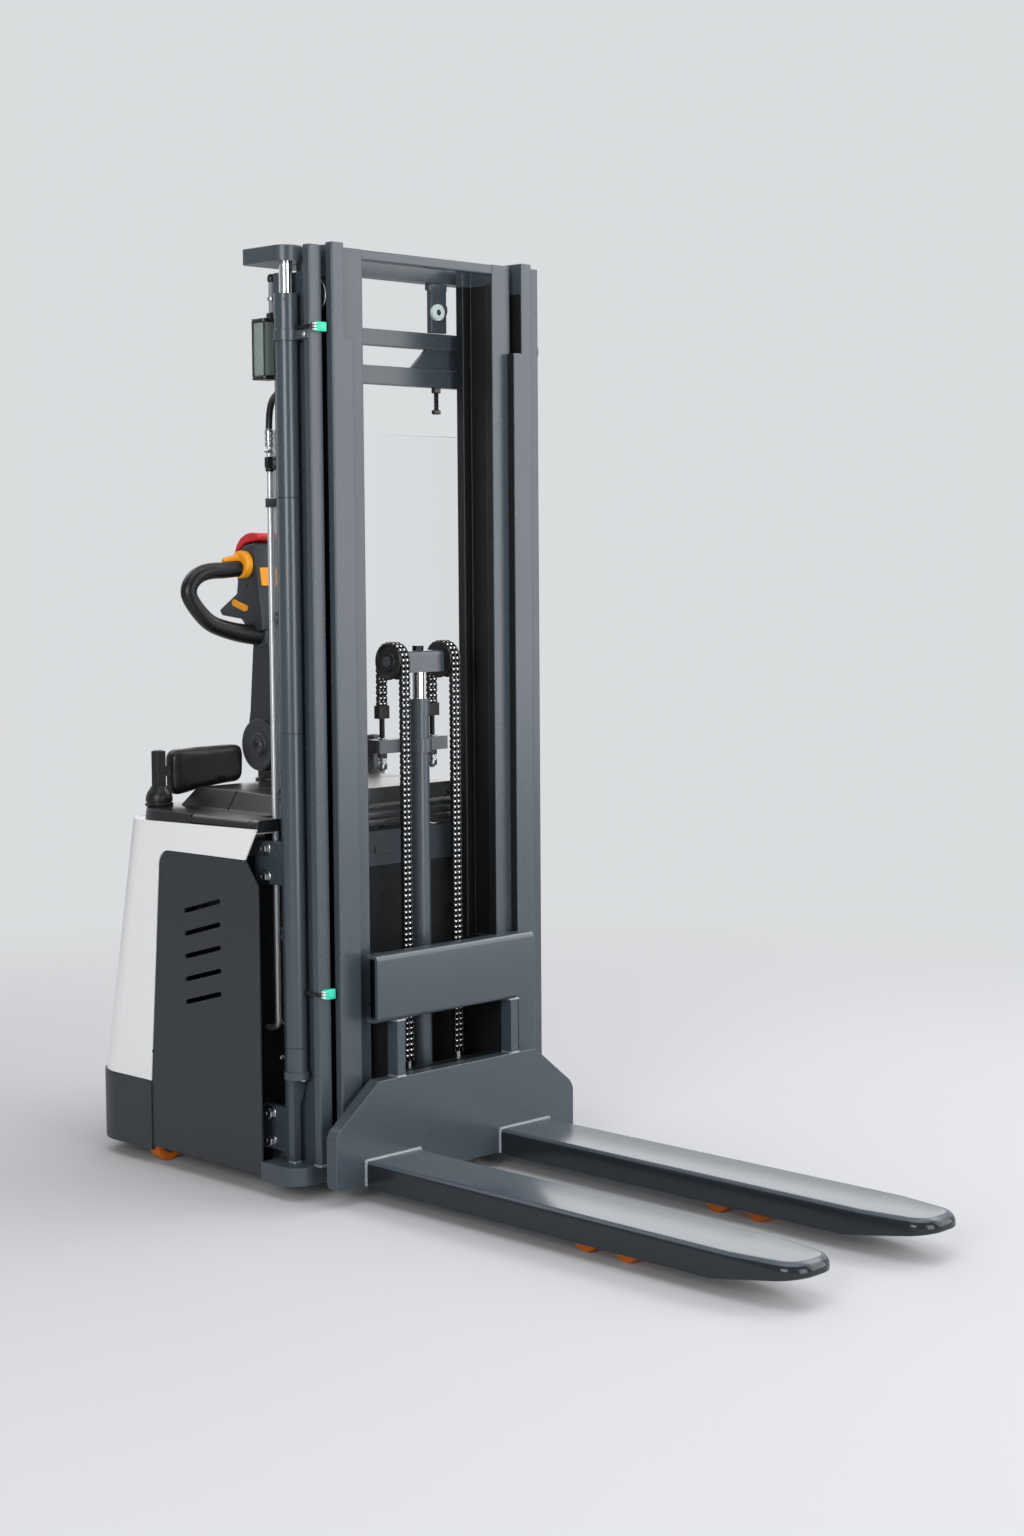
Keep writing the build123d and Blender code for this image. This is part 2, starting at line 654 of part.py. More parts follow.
def make_middle_rail():
    """Return the right middle rail with its roller stub."""
    rail = block(MIDDLE_BACK, MIDDLE_FRONT, -MIDDLE_WEB_OUT, -MIDDLE_WEB_IN, MAST_LOW, MIDDLE_TOP)
    for x0, x1 in ((MIDDLE_FRONT - FLANGE + 0.5, MIDDLE_FRONT), (MIDDLE_BACK, MIDDLE_BACK + FLANGE - 0.5)):
        flange = block(x0, x1, -MIDDLE_OUT, -MIDDLE_IN, MAST_LOW, MIDDLE_TOP)
        flange -= block(x0 - 1, x1 + 1, -MIDDLE_WEB_IN, -MIDDLE_IN + 1, MIDDLE_NOTCH, MIDDLE_TOP + 1)
        rail += soften(flange, Axis.Z, 4, lambda c: c.Y < -MIDDLE_OUT + 1)
    rail += rod_y(MIDDLE_ROLLER_X, -MIDDLE_WEB_IN, -MIDDLE_ROLLER_Y[0], TOP_ROLLER_Z, STUB_R)
    rail += rod_y(MIDDLE_ROLLER_X, -MIDDLE_WEB_IN, -MIDDLE_ROLLER_Y[1] - 0.5, TOP_ROLLER_Z, SHOULDER_R)
    return rail


right_middle_rail = make_middle_rail()
slide_pad = block(
    MIDDLE_BACK,
    MIDDLE_BACK + FLANGE,
    -OUTER_WEB_IN + SLIDE_GAP,
    -MIDDLE_OUT,
    MAST_LOW + 5,
    MAST_LOW + 125,
)
save("middle_rails", right_middle_rail, slide_pad, mirrored(right_middle_rail), mirrored(slide_pad))


def make_yoke():
    """Return the yoke that the lift rods push, and the lower cross member."""
    yoke = block(YOKE_BACK, YOKE_FRONT, -CYL_Y, CYL_Y, YOKE_LOW, YOKE_TOP)
    for side in (-1, 1):
        end = side * (CYL_Y - 1)
        yoke += block(YOKE_BACK, CYL_X, end - YOKE_END_R, end + YOKE_END_R, YOKE_LOW, YOKE_TOP)
        yoke += rod_z(CYL_X, end, YOKE_LOW, YOKE_TOP, YOKE_END_R)
        yoke += block(YOKE_FRONT - 1, MIDDLE_BACK, side * 254, side * MIDDLE_OUT, YOKE_LOW, YOKE_TOP)
    yoke = soften(yoke, Axis.Z, 12, lambda c: c.X < YOKE_BACK + 1)
    hang_x = OUTER_BACK - 37
    buffer_z = YOKE_LOW - 60
    hanger = block(hang_x - 8, hang_x, BUFFER_Y - 12, BUFFER_Y + 12, buffer_z - 34, YOKE_LOW + 1)
    hanger += rod_x(hang_x, hang_x + 18, BUFFER_Y, buffer_z, 20)
    hanger += rod_x(hang_x + 18, hang_x + 24, BUFFER_Y, buffer_z, 13)
    return yoke + hanger


def make_lower_member():
    """Return the cross member at the foot of the middle rails."""
    back = INNER_BACK - 17
    front = INNER_BACK - 3
    member = block(back, front, -MIDDLE_OUT, MIDDLE_OUT, MAST_LOW + 5, MAST_LOW + 65)
    for side in (-1, 1):
        member += block(front - 1, MIDDLE_BACK, side * 254, side * MIDDLE_OUT, MAST_LOW + 5, MAST_LOW + 65)
    return member


save("middle_crossmembers", make_yoke(), make_lower_member())


def make_inner_rail():
    """Return the right inner rail with its roller stub."""
    rail = block(INNER_BACK, INNER_FRONT, -INNER_WEB_OUT, -INNER_WEB_IN, MAST_LOW, INNER_TOP)
    front = block(INNER_FRONT - FLANGE, INNER_FRONT, -INNER_OUT, -INNER_IN, MAST_LOW, INNER_TOP)
    front -= block(
        INNER_FRONT - FLANGE - 1,
        INNER_FRONT + 1,
        -INNER_OUT - 1,
        -INNER_WEB_OUT,
        MAST_LOW - 1,
        INNER_NOTCH,
    )
    rail += front
    rail += block(INNER_BACK, INNER_BACK + FLANGE, -INNER_OUT, -INNER_IN, MAST_LOW, INNER_TOP)
    rail += rod_y(INNER_ROLLER_X, -INNER_ROLLER_Y[1], -INNER_WEB_OUT, INNER_ROLLER_Z, STUB_R)
    rail += rod_y(INNER_ROLLER_X, -INNER_ROLLER_Y[0] + 0.5, -INNER_WEB_OUT, INNER_ROLLER_Z, SHOULDER_R)
    return rail


save_pair("inner_rails", make_inner_rail())


def make_inner_crossmembers():
    """Return the top tie and the base member that carries the free-lift cylinder."""
    tie = block(INNER_FRONT - FLANGE, INNER_FRONT, -INNER_IN, INNER_IN, INNER_TOP - 22, INNER_TOP)
    tie = soften(tie, Axis.Y, 4, lambda c: True)
    base = block(INNER_BACK, UPRIGHT_BACK - 3, -INNER_IN, INNER_IN, MAST_LOW, MAST_LOW + 40)
    base += block(UPRIGHT_BACK - 10, LIFT_X + 38, -45, 45, MAST_LOW, MAST_LOW + 25)
    return [tie, base]


save("inner_crossmembers", *make_inner_crossmembers())


def make_free_lift_cylinder():
    """Return the free-lift cylinder with the bracket that holds the chain ends."""
    body = rod_z(LIFT_X, 0, MAST_LOW + 25, LIFT_CAP_LOW + 1, LIFT_R)
    body += rod_z(LIFT_X, 0, LIFT_CAP_LOW, LIFT_CAP_TOP, LIFT_CAP_R)
    body += block(-178, -140, -105, 105, 957, 987)
    body += rod_z(LIFT_X, 0, 957, 987, LIFT_R + 6)
    for side in (-1, 1):
        y = side * CHAIN_Y
        back_x = LIFT_X - CHAIN_PITCH_R
        body += rod_z(back_x, y, 917, 1035, 6)
        body += hex_z(back_x, y, 945, 958, 11)
        body += hex_z(back_x, y, 920, 932, 11)
        body += block(back_x - 9, back_x + 9, y - 15, y + 15, 1034, CHAIN_BACK_LOW)
    body -= rod_z(LIFT_X, 0, MAST_LOW + 40, LIFT_CAP_LOW, LIFT_BORE)
    body -= rod_z(LIFT_X, 0, LIFT_CAP_LOW - 1, LIFT_CAP_TOP + 1, LIFT_ROD_R + RUN_GAP)
    return body


save("free_lift_cylinder", make_free_lift_cylinder())


def make_crosshead():
    """Return the ram, its head and the axle of the chain wheels."""
    head = block(LIFT_X - 22, LIFT_X + 22, -60, 60, WHEEL_Z - 26, WHEEL_Z + 22)
    head = soften(head, Axis.Y, 10, lambda c: c.Z > WHEEL_Z)
    head += rod_y(LIFT_X, -CHAIN_Y - 20, CHAIN_Y + 20, WHEEL_Z, AXLE_R)
    head += rod_z(LIFT_X, 0, 270, WHEEL_Z, LIFT_ROD_R)
    head += rod_z(LIFT_X, 0, 250, 285, LIFT_BORE - RUN_GAP)
    head += hex_z(LIFT_X, 0, WHEEL_Z + 21, WHEEL_Z + 33, 13)
    return head


save("crosshead", make_crosshead())


def make_chain_wheel():
    """Return the right chain wheel, a grooved roller."""
    y0 = -CHAIN_Y - SHEAVE_WIDTH / 2
    y1 = -CHAIN_Y + SHEAVE_WIDTH / 2
    groove_r = CHAIN_PITCH_R - CHAIN_THICK / 2 - SLIDE_GAP
    wheel = rod_y(LIFT_X, y0, y0 + 3, WHEEL_Z, SHEAVE_R)
    wheel += rod_y(LIFT_X, y1 - 3, y1, WHEEL_Z, SHEAVE_R)
    wheel += rod_y(LIFT_X, y0, y1, WHEEL_Z, groove_r)
    return wheel - rod_y(LIFT_X, y0 - 1, y1 + 1, WHEEL_Z, AXLE_R + RUN_GAP)


save_pair("chain_wheels", make_chain_wheel())


def make_chain():
    """Return the right lift chain as a strap over its wheel."""
    y0 = -CHAIN_Y - CHAIN_WIDTH / 2
    y1 = -CHAIN_Y + CHAIN_WIDTH / 2
    half = CHAIN_THICK / 2
    wrap = rod_y(LIFT_X, y0, y1, WHEEL_Z, CHAIN_PITCH_R + half)
    wrap -= rod_y(LIFT_X, y0 - 1, y1 + 1, WHEEL_Z, CHAIN_PITCH_R - half)
    wrap -= block(LIFT_X - 60, LIFT_X + 60, y0 - 1, y1 + 1, WHEEL_Z - 60, WHEEL_Z)
    front = LIFT_X + CHAIN_PITCH_R
    back = LIFT_X - CHAIN_PITCH_R
    wrap += block(front - half, front + half, y0, y1, CHAIN_LOW, WHEEL_Z)
    return wrap + block(back - half, back + half, y0, y1, CHAIN_BACK_LOW, WHEEL_Z)


save_pair("lift_chains", make_chain())


# Base frame: the foot under the mast, two legs and the links to the chassis
def make_base_frame():
    """Return the base frame with the fixed axles of the load wheels."""
    base = block(CYL_X - FOOT_R, CYL_X + FOOT_R, -CYL_Y, CYL_Y, FOOT_LOW, FLOOR_OF_MAST)
    for side in (-1, 1):
        end = block(FOOT_BACK, FOOT_FRONT, side * 300, side * FOOT_HALF, FOOT_LOW, FLOOR_OF_MAST)
        base += soften(end, Axis.Z, FOOT_CORNER, lambda c: c.X > FOOT_FRONT - 1 and abs(c.Y) > FOOT_HALF - 1)
        middle = side * FORK_CENTRE
        half = LEG_WIDTH / 2
        leg = block(CYL_X, LEG_END, middle - half, middle + half, LEG_LOW, LEG_TOP)
        leg = soften(leg, Axis.Z, 20, lambda c: c.X > LEG_END - 1)
        slot_half = LOAD_WHEEL_WIDTH / 2 + 3
        clear = LOAD_WHEEL_R + 5
        first, last = LOAD_WHEEL_XS
        leg -= block(first - clear, last + clear, middle - slot_half, middle + slot_half, 0, 200)
        for x in LOAD_WHEEL_XS:
            leg += rod_y(x, middle - half + 2, middle + half - 2, LOAD_WHEEL_R, LOAD_AXLE_R)
        under = [(LEG_END - 60, LEG_LOW - 1), (LEG_END + 1, LEG_LOW - 1), (LEG_END + 1, LEG_LOW + 16)]
        leg -= plate_xz(under, middle - half - 1, middle + half + 1)
        base += leg
        base += block(FRAME_FRONT, CYL_X, side * 250, side * 300, LEG_LOW, FLOOR_OF_MAST)
    return base


save("base_frame", make_base_frame())


def make_load_wheel(x, side):
    """Return one load wheel."""
    middle = side * FORK_CENTRE
    half = LOAD_WHEEL_WIDTH / 2
    wheel = rod_y(x, middle - half, middle + half, LOAD_WHEEL_R, LOAD_WHEEL_R)
    wheel -= rod_y(x, middle - half - 1, middle + half + 1, LOAD_WHEEL_R, LOAD_AXLE_R + RUN_GAP)
    return chamfer(wheel.edges().filter_by(GeomType.CIRCLE).sort_by(SortBy.RADIUS)[-2:], 3)


save("right_rear_load_wheel", make_load_wheel(LOAD_WHEEL_XS[0], -1))
save("right_front_load_wheel", make_load_wheel(LOAD_WHEEL_XS[1], -1))
save("left_rear_load_wheel", make_load_wheel(LOAD_WHEEL_XS[0], 1))
save("left_front_load_wheel", make_load_wheel(LOAD_WHEEL_XS[1], 1))

# Chassis: plates and posts that everything is fixed to
PANEL_POST_XS = ((FRAME_FRONT - 23, FRAME_FRONT), (-545.0, -525.0))
COVER_POST_X = (-630.0, -610.0)
FRAME_BACK = -785.0
COVER_INSIDE = COVER_HALF - COVER_WALL
SKIRT_INSIDE = SKIRT_HALF - SKIRT_WALL
PANEL_INSIDE = BODY_HALF - PANEL_WALL


def make_chassis():
    """Return the welded chassis."""
    frame = block(FRAME_FRONT - 8, FRAME_FRONT, -FRAME_HALF, FRAME_HALF, LEG_LOW, 700)
    frame += block(FRAME_FRONT - 8, FRAME_FRONT + 12, -FRAME_HALF, FRAME_HALF, 683, 764)
    frame += block(FRAME_FRONT + 11, FRAME_FRONT + 17, 6, 68, 711, 728)
    frame += block(-490, FRAME_FRONT - 7, -FRAME_HALF, FRAME_HALF, 195, 203)
    frame += block(-760, -490, -FRAME_HALF, FRAME_HALF, DRIVE_PLATE_LOW, DRIVE_PLATE_TOP)
    frame += block(FRAME_BACK, FRAME_BACK + 8, -FRAME_HALF, FRAME_HALF, 205, DRIVE_PLATE_TOP)
    frame += block(FRAME_BACK, -759, -FRAME_HALF, FRAME_HALF, DRIVE_PLATE_LOW, DRIVE_PLATE_TOP)
    for side in (-1, 1):
        outer = side * FRAME_HALF
        inner = side * (FRAME_HALF - 12)
        frame += block(FRAME_BACK, FRAME_FRONT - 7, inner, outer, 195, DRIVE_PLATE_TOP)
        frame += block(-690, -560, inner, outer, CASTER_PLATE_LOW, 196)
        frame += block(-690, -560, side * 295, side * 355, CASTER_PLATE_LOW, CASTER_PLATE_TOP)
        frame += block(-635, -615, side * 354, side * SKIRT_INSIDE, CASTER_PLATE_LOW, CASTER_PLATE_TOP)
        frame += block(-690, -560, outer - side, side * 355, CASTER_PLATE_TOP - 1, CASTER_PLATE_TOP + 8)
        for x0, x1 in PANEL_POST_XS:
            frame += block(x0, x1, outer - side, side * PANEL_INSIDE, 195, 735)
        frame += block(*COVER_POST_X, outer - side, side * COVER_INSIDE, 205, 740)
        frame -= rod_z(CASTER_X, side * CASTER_Y, 100, 240, 12 + RUN_GAP)
        for z0, z1 in ((680, 764), (89, 186)):
            frame += block(FRAME_FRONT - 1, OUTER_BACK - 15, side * EAR_IN, side * EAR_OUT, z0, z1)
        for x, z in MOUNT_BOLTS:
            frame -= rod_y(x, side * (EAR_IN - 1), side * (EAR_OUT + 1), z, BOLT_HOLE_R)
    return frame - rod_z(STEER_X, 0, 300, 400, HUB_R)


save("chassis_frame", make_chassis())

VENT_COUNT = 5
VENT_STEP = 51.9
VENT_TOP = (-408.5, 621.0)
VENT_LENGTH = 136.0
VENT_WIDTH = 11.0
VENT_TILT = 15.0
PANEL_BACK_LOW = -605.0
PANEL_BACK_TOP = -559.0
PANEL_FRONT = -213.0
PANEL_NOSE = -255.0
PANEL_CORNER = 36.0


def make_side_panel():
    """Return the right side panel with its vents."""
    outline = [
        (PANEL_BACK_LOW, PANEL_LOW),
        (PANEL_FRONT, PANEL_LOW),
        (PANEL_FRONT, PANEL_TOP - 53),
        (PANEL_NOSE, PANEL_TOP),
        (PANEL_BACK_TOP, PANEL_TOP),
        (PANEL_BACK_LOW, COVER_LOW),
    ]
    panel = plate_xz(outline, -BODY_HALF, -PANEL_INSIDE)
    panel = soften(panel, Axis.Y, PANEL_CORNER, lambda c: c.Z > PANEL_TOP - 1 and c.X < PANEL_NOSE - 50)
    for row in range(VENT_COUNT):
        slot = extrude(Rot(0, 0, VENT_TILT) * SlotOverall(VENT_LENGTH, VENT_WIDTH), 40, both=True)
        x, z = VENT_TOP
        panel -= Pos(x, -BODY_HALF, z - row * VENT_STEP) * Rot(90, 0, 0) * slot
    return panel


save_pair("side_panels", make_side_panel())


def tub_face(rear, front, half, corner):
    """Return a plan face with two rounded rear corners."""
    outline = [(front, -half), (front, half), (rear, half), (rear, -half)]
    face = make_face(Polyline(*outline, close=True))
    corners = [v for v in face.vertices() if v.X < rear + 1]
    return fillet(corners, corner)


def tub(low, high, half, front, corner):
    """Return a solid between a lower and an upper plan face, each given as (rear, z)."""
    faces = [Pos(0, 0, z) * tub_face(rear, front, half, corner) for rear, z in (low, high)]
    return loft(faces, ruled=True)


def make_rear_cover():
    """Return the white cover that wraps the rear and runs forward above the panels."""
    rake = (COVER_REAR_TOP - COVER_REAR_LOW) / (COVER_TOP - COVER_LOW)
    rim = COVER_TOP + COVER_LIP
    low = (COVER_REAR_LOW, COVER_LOW)
    high = (COVER_REAR_TOP + rake * COVER_LIP, rim)
    outside = tub(low, high, COVER_HALF, COVER_FRONT, COVER_CORNER)
    low_in = (COVER_REAR_LOW + COVER_WALL - rake, COVER_LOW - 1)
    high_in = (COVER_REAR_TOP + COVER_WALL + rake * (COVER_LIP + 1), rim + 1)
    inside = tub(low_in, high_in, COVER_INSIDE, COVER_FRONT + 10, COVER_CORNER - COVER_WALL)
    shell = outside - inside
    gap = SHUT_GAP
    window = [
        (PANEL_BACK_LOW - gap, COVER_LOW - 10),
        (PANEL_BACK_LOW - gap, COVER_LOW),
        (PANEL_BACK_TOP - gap, PANEL_TOP + gap),
        (COVER_FRONT + 100, PANEL_TOP + gap),
        (COVER_FRONT + 100, COVER_LOW - 10),
    ]
    opening = plate_xz(window, -500, 500)
    shell -= soften(opening, Axis.Y, PANEL_CORNER + gap, lambda c: c.Z > PANEL_TOP and c.X < PANEL_NOSE)
    nose = [
        (COVER_FRONT - 11, rim + 1),
        (PANEL_NOSE, PANEL_TOP),
        (COVER_FRONT + 100, PANEL_TOP),
        (COVER_FRONT + 100, rim + 1),
    ]
    shell -= plate_xz(nose, -500, 500)
    over = [(COVER_REAR_TOP - 40, COVER_TOP), (COVER_FRONT, rim), (COVER_FRONT, rim + 20), (COVER_REAR_TOP - 40, rim + 20)]
    shell -= plate_xz(over, -500, 500)
    for side in (-1, 1):
        shell += block(-300, -236, side * 330, side * (COVER_INSIDE + 1), COVER_TOP - COVER_WALL, COVER_TOP)
    shelf = tub(
        (COVER_REAR_TOP, COVER_TOP - COVER_WALL),
        (COVER_REAR_TOP, COVER_TOP),
        COVER_HALF - 1,
        SHELF_FRONT,
        COVER_CORNER,
    )
    shelf -= rod_z(STEER_X, 0, COVER_TOP - 20, COVER_TOP + 20, 40)
    for side in (-1, 1):
        shelf -= rod_z(POST_X, side * POST_Y, COVER_TOP - 20, COVER_TOP + 20, 14)
    return shell + shelf


save("rear_cover", make_rear_cover())

LUG_YS = (150.0, 225.0)


def make_bumper_skirt():
    """Return the dark skirt round the rear with the platform hinge lugs."""
    outside = tub((SKIRT_REAR, SKIRT_LOW), (SKIRT_REAR, SKIRT_TOP), SKIRT_HALF, SKIRT_FRONT, 108)
    inside = tub(
        (SKIRT_REAR + SKIRT_WALL, SKIRT_LOW - 1),
        (SKIRT_REAR + SKIRT_WALL, SKIRT_TOP + 1),
        SKIRT_INSIDE,
        SKIRT_FRONT + 10,
        100,
    )
    skirt = outside - inside
    for side in (-1, 1):
        for y in LUG_YS:
            lug = block(PLATFORM_AXIS_X, SKIRT_REAR + 1, side * y - 7, side * y + 7, PLATFORM_LOW - 9, PLATFORM_LOW + 9)
            lug += rod_y(PLATFORM_AXIS_X, side * y - 7, side * y + 7, PLATFORM_LOW, 9)
            skirt += lug
        skirt += rod_y(PLATFORM_AXIS_X, side * LUG_YS[0], side * LUG_YS[1], PLATFORM_LOW, 5)
    return skirt


save("bumper_skirt", make_bumper_skirt())


def make_platform():
    """Return the folding stand-on platform in its folded place."""
    board = block(PLATFORM_REAR, PLATFORM_FRONT - 1, -PLATFORM_HALF, PLATFORM_HALF, PLATFORM_LOW + 14, PLATFORM_TOP)
    board = soften(board, Axis.X, 40, lambda c: c.Z > PLATFORM_TOP - 1)
    pocket = block(
        PLATFORM_FRONT - 20,
        PLATFORM_FRONT + 1,
        -PLATFORM_HALF + 22,
        PLATFORM_HALF - 22,
        PLATFORM_LOW + 60,
        PLATFORM_TOP - 45,
    )
    board -= pocket
    middle = (LUG_YS[0] + LUG_YS[1]) / 2
    for side in (-1, 1):
        y = side * middle
        board += rod_y(PLATFORM_AXIS_X, y - 28, y + 28, PLATFORM_LOW, 9.5)
        board += block(PLATFORM_AXIS_X - 9, PLATFORM_AXIS_X + 4, y - 28, y + 28, PLATFORM_LOW, PLATFORM_LOW + 16)
        board -= rod_y(PLATFORM_AXIS_X, y - 60, y + 60, PLATFORM_LOW, 5 + RUN_GAP)
    return board


save("platform", make_platform())

LID_EDGE_R = 13.0
LID_AXIS_Y = -DECK_HALF + LID_EDGE_R
LID_AXIS_Z = 811.5
ROLL_BACK = DECK_SEAM + 1.5
ROLL_FRONT = -247.0
LID_STRIP_IN = -332.0
DECK_FRONT = -217.0
LID_LOW = COVER_TOP + 0.5
HINGE_PIN_R = 4.0


def make_top_deck():
    """Return the rear deck with its raised hood, and the two front corner pieces."""
    deck = tub((DECK_REAR, COVER_TOP), (DECK_REAR + 6, DECK_TOP), DECK_HALF, DECK_SEAM - 1.5, 100)
    hood = [
        (-HOOD_BASE, DECK_TOP - 1),
        (HOOD_BASE, DECK_TOP - 1),
        (HOOD_TOP_HALF, HOOD_HIGH),
        (-HOOD_TOP_HALF, HOOD_HIGH),
    ]
    raised = plate_yz(hood, HOOD_REAR, DECK_SEAM - 1.5)
    ramp = [(HOOD_REAR - 1, DECK_TOP), (HOOD_REAR - 1, HOOD_HIGH + 1), (HOOD_REAR + 28, HOOD_HIGH + 1)]
    deck += raised - plate_xz(ramp, -400, 400)
    deck -= rod_z(STEER_X, 0, COVER_TOP - 1, DECK_TOP + 1, 28)
    deck -= rod_z(STEER_X, 0, DECK_TOP, HOOD_HIGH + 1, PEDESTAL_R + SHUT_GAP)
    for side in (-1, 1):
        deck -= rod_z(POST_X, side * POST_Y, COVER_TOP - 1, DECK_TOP + 1, PIN_R + RUN_GAP)
    deck += rod_x(DECK_SEAM - 20, ROLL_BACK + 16, LID_AXIS_Y, LID_AXIS_Z, HINGE_PIN_R)
    right = block(ROLL_FRONT + 2, DECK_FRONT, -DECK_HALF, LID_STRIP_IN, COVER_TOP, DECK_TOP)
    right = soften(right, Axis.X, 12, lambda c: c.Y < -DECK_HALF + 1 and c.Z > DECK_TOP - 1)
    right += rod_x(ROLL_FRONT - 16, ROLL_FRONT + 10, LID_AXIS_Y, LID_AXIS_Z, HINGE_PIN_R)
    left = block(LID_FRONT + 2, DECK_FRONT, -LID_STRIP_IN, DECK_HALF, COVER_TOP, DECK_TOP)
    left = soften(left, Axis.X, 12, lambda c: c.Y > DECK_HALF - 1 and c.Z > DECK_TOP - 1)
    return [deck, right, left]


save("top_deck", *make_top_deck())


def make_battery_lid():
    """Return the lid over the battery, with the round hinge edge on the right."""
    lid = block(ROLL_BACK, LID_FRONT, LID_AXIS_Y, DECK_HALF, LID_LOW, DECK_TOP)
    lid = soften(lid, Axis.X, 8, lambda c: c.Y > DECK_HALF - 1 and c.Z > DECK_TOP - 1)
    lid += block(LID_FRONT - 1, ROLL_FRONT, LID_AXIS_Y, LID_STRIP_IN - 2, LID_LOW, DECK_TOP)
    lid += rod_x(ROLL_BACK, ROLL_FRONT, LID_AXIS_Y, LID_AXIS_Z, LID_EDGE_R)
    back = Plane.YZ.offset(ROLL_BACK) * make_face(
        Polyline(
            (-HOOD_BASE, DECK_TOP - 1),
            (HOOD_BASE, DECK_TOP - 1),
            (HOOD_TOP_HALF, HOOD_HIGH),
            (-HOOD_TOP_HALF, HOOD_HIGH),
            close=True,
        )
    )
    front = Plane.YZ.offset(LID_FRONT - 14) * make_face(
        Polyline(
            (-HOOD_BASE, DECK_TOP - 1),
            (HOOD_BASE, DECK_TOP - 1),
            (HOOD_TOP_HALF, HOOD_LOW),
            (-HOOD_TOP_HALF, HOOD_LOW),
            close=True,
        )
    )
    lid += loft([back, front], ruled=True)
    lid -= rod_x(ROLL_BACK - 1, ROLL_BACK + 22, LID_AXIS_Y, LID_AXIS_Z, HINGE_PIN_R + RUN_GAP)
    return lid - rod_x(ROLL_FRONT - 22, ROLL_FRONT + 1, LID_AXIS_Y, LID_AXIS_Z, HINGE_PIN_R + RUN_GAP)


save("battery_lid", make_battery_lid())

# Inside the chassis
battery_front = FRAME_FRONT - 15
battery = soften(block(battery_front - 168, battery_front, -300, 300, 203, 590), Axis.Z, 6, lambda c: True)
for terminal_y in (-220, 220):
    battery += rod_z(battery_front - 84, terminal_y, 589, 606, 12)
save("battery_pack", battery)

tank = soften(block(-740, -600, 150, 300, DRIVE_PLATE_TOP, 560), Axis.Z, 12, lambda c: True)
pump = block(-601, -560, 185, 265, DRIVE_PLATE_TOP, 440) + rod_x(-561, -500, 225, 400, 36)
save("hydraulic_unit", tank + pump)

controller = block(-720, -520, -300, -150, DRIVE_PLATE_TOP, 420)
for fin in range(9):
    fin_x = -715 + fin * 23
    controller += block(fin_x, fin_x + 6, -298, -152, 419, 452)
save("motor_controller", controller)


# Sensors on the front of the right outer rail
def make_sensor(low, high):
    """Return one sensor block on a strip that folds round the rail flange."""
    middle = (low + high) / 2
    body = soften(
        block(OUTER_FRONT, OUTER_FRONT + 12, -342, -305, low, high),
        Axis.X,
        4,
        lambda c: True,
    )
    strip_out = OUTER_FLANGE_OUT + 4
    strip_low = middle - 6
    strip_top = middle + 6
    strip_back = OUTER_FRONT - FLANGE - 12
    strip = block(strip_back, OUTER_FRONT + 5, -strip_out, -strip_out + 3, strip_low, strip_top)
    strip += block(OUTER_FRONT, OUTER_FRONT + 5, -strip_out, -341, strip_low, strip_top)
    strip += block(strip_back, strip_back + 3, -strip_out, -OUTER_WEB_OUT, strip_low, strip_top)
    return body + strip


save("mast_sensors", make_sensor(MAST_TOP - 182, MAST_TOP - 162), make_sensor(437, 465))

FERRULE_LOW = GUARD_TOP - 37
FERRULE_TOP = GUARD_TOP + 1
FERRULE_R = 10.0
NUT_LOW = GUARD_TOP - 84
CLIP_LOW = GUARD_TOP - 170
PORT_DEPTH = 12.0


def make_hydraulic_line():
    """Return the steel pipe with its fitting, the hose, its port on the rail and the pipe clip."""
    route = [
        (FRAME_FRONT, PIPE_Y, GUARD_LOW - 6),
        (PIPE_X, PIPE_Y, GUARD_LOW - 6),
        (PIPE_X, PIPE_Y, FERRULE_LOW),
    ]
    pipe = tube_along(route, 20, PIPE_R)
    pipe += rod_z(PIPE_X, PIPE_Y, FERRULE_LOW - 1, FERRULE_TOP, FERRULE_R)
    pipe += hex_z(PIPE_X, PIPE_Y, NUT_LOW, NUT_LOW + 24, 11)
    port_z = FERRULE_TOP + 70
    hose_route = [
        (PIPE_X, PIPE_Y, FERRULE_TOP),
        (PIPE_X, PIPE_Y, FERRULE_TOP + 66),
        (OUTER_BACK - PORT_DEPTH, PORT_Y, port_z),
    ]
    hose = tube_along(hose_route, HOSE_BEND, HOSE_R)
    port = rod_x(OUTER_BACK - PORT_DEPTH, OUTER_BACK, PORT_Y, port_z, HOSE_R + 2) - hose
    clip = rod_z(PIPE_X, PIPE_Y, CLIP_LOW, CLIP_LOW + 20, PIPE_R + 4)
    clip += block(PIPE_X + 5, OUTER_BACK, -324, -313, CLIP_LOW, CLIP_LOW + 20)
    clip -= rod_z(PIPE_X, PIPE_Y, CLIP_LOW - 1, CLIP_LOW + 21, PIPE_R)
    return [pipe, hose, port, clip]


save("hydraulic_line", *make_hydraulic_line())

GLAND_Y = -339.0
BOX_LIMITS = (OUTER_BACK - 45, OUTER_BACK, -371.0, -326.0, MAST_TOP - 277, MAST_TOP - 147)


def make_junction_box():
    """Return the box with a clear lid, its gland and the conduit above it."""
    x0, x1, y0, y1, z0, z1 = BOX_LIMITS
    case = soften(block(*BOX_LIMITS), Axis.Y, 8, lambda c: True)
    case -= block(x0 + 7, x1 - 7, y0 - 1, y0 + 14, z0 + 9, z1 - 9)
    window = block(x0 + 7, x1 - 7, y0 + 0.5, y0 + 4, z0 + 9, z1 - 9)
    gland_x = (x0 + x1) / 2 + 8
    case += hex_z(gland_x, GLAND_Y, z1 - 1, z1 + 14, 12)
    case += rod_z(gland_x, GLAND_Y, z1 + 13, z1 + 95, 6.5)
    return [case, window]


save("junction_box", *make_junction_box())


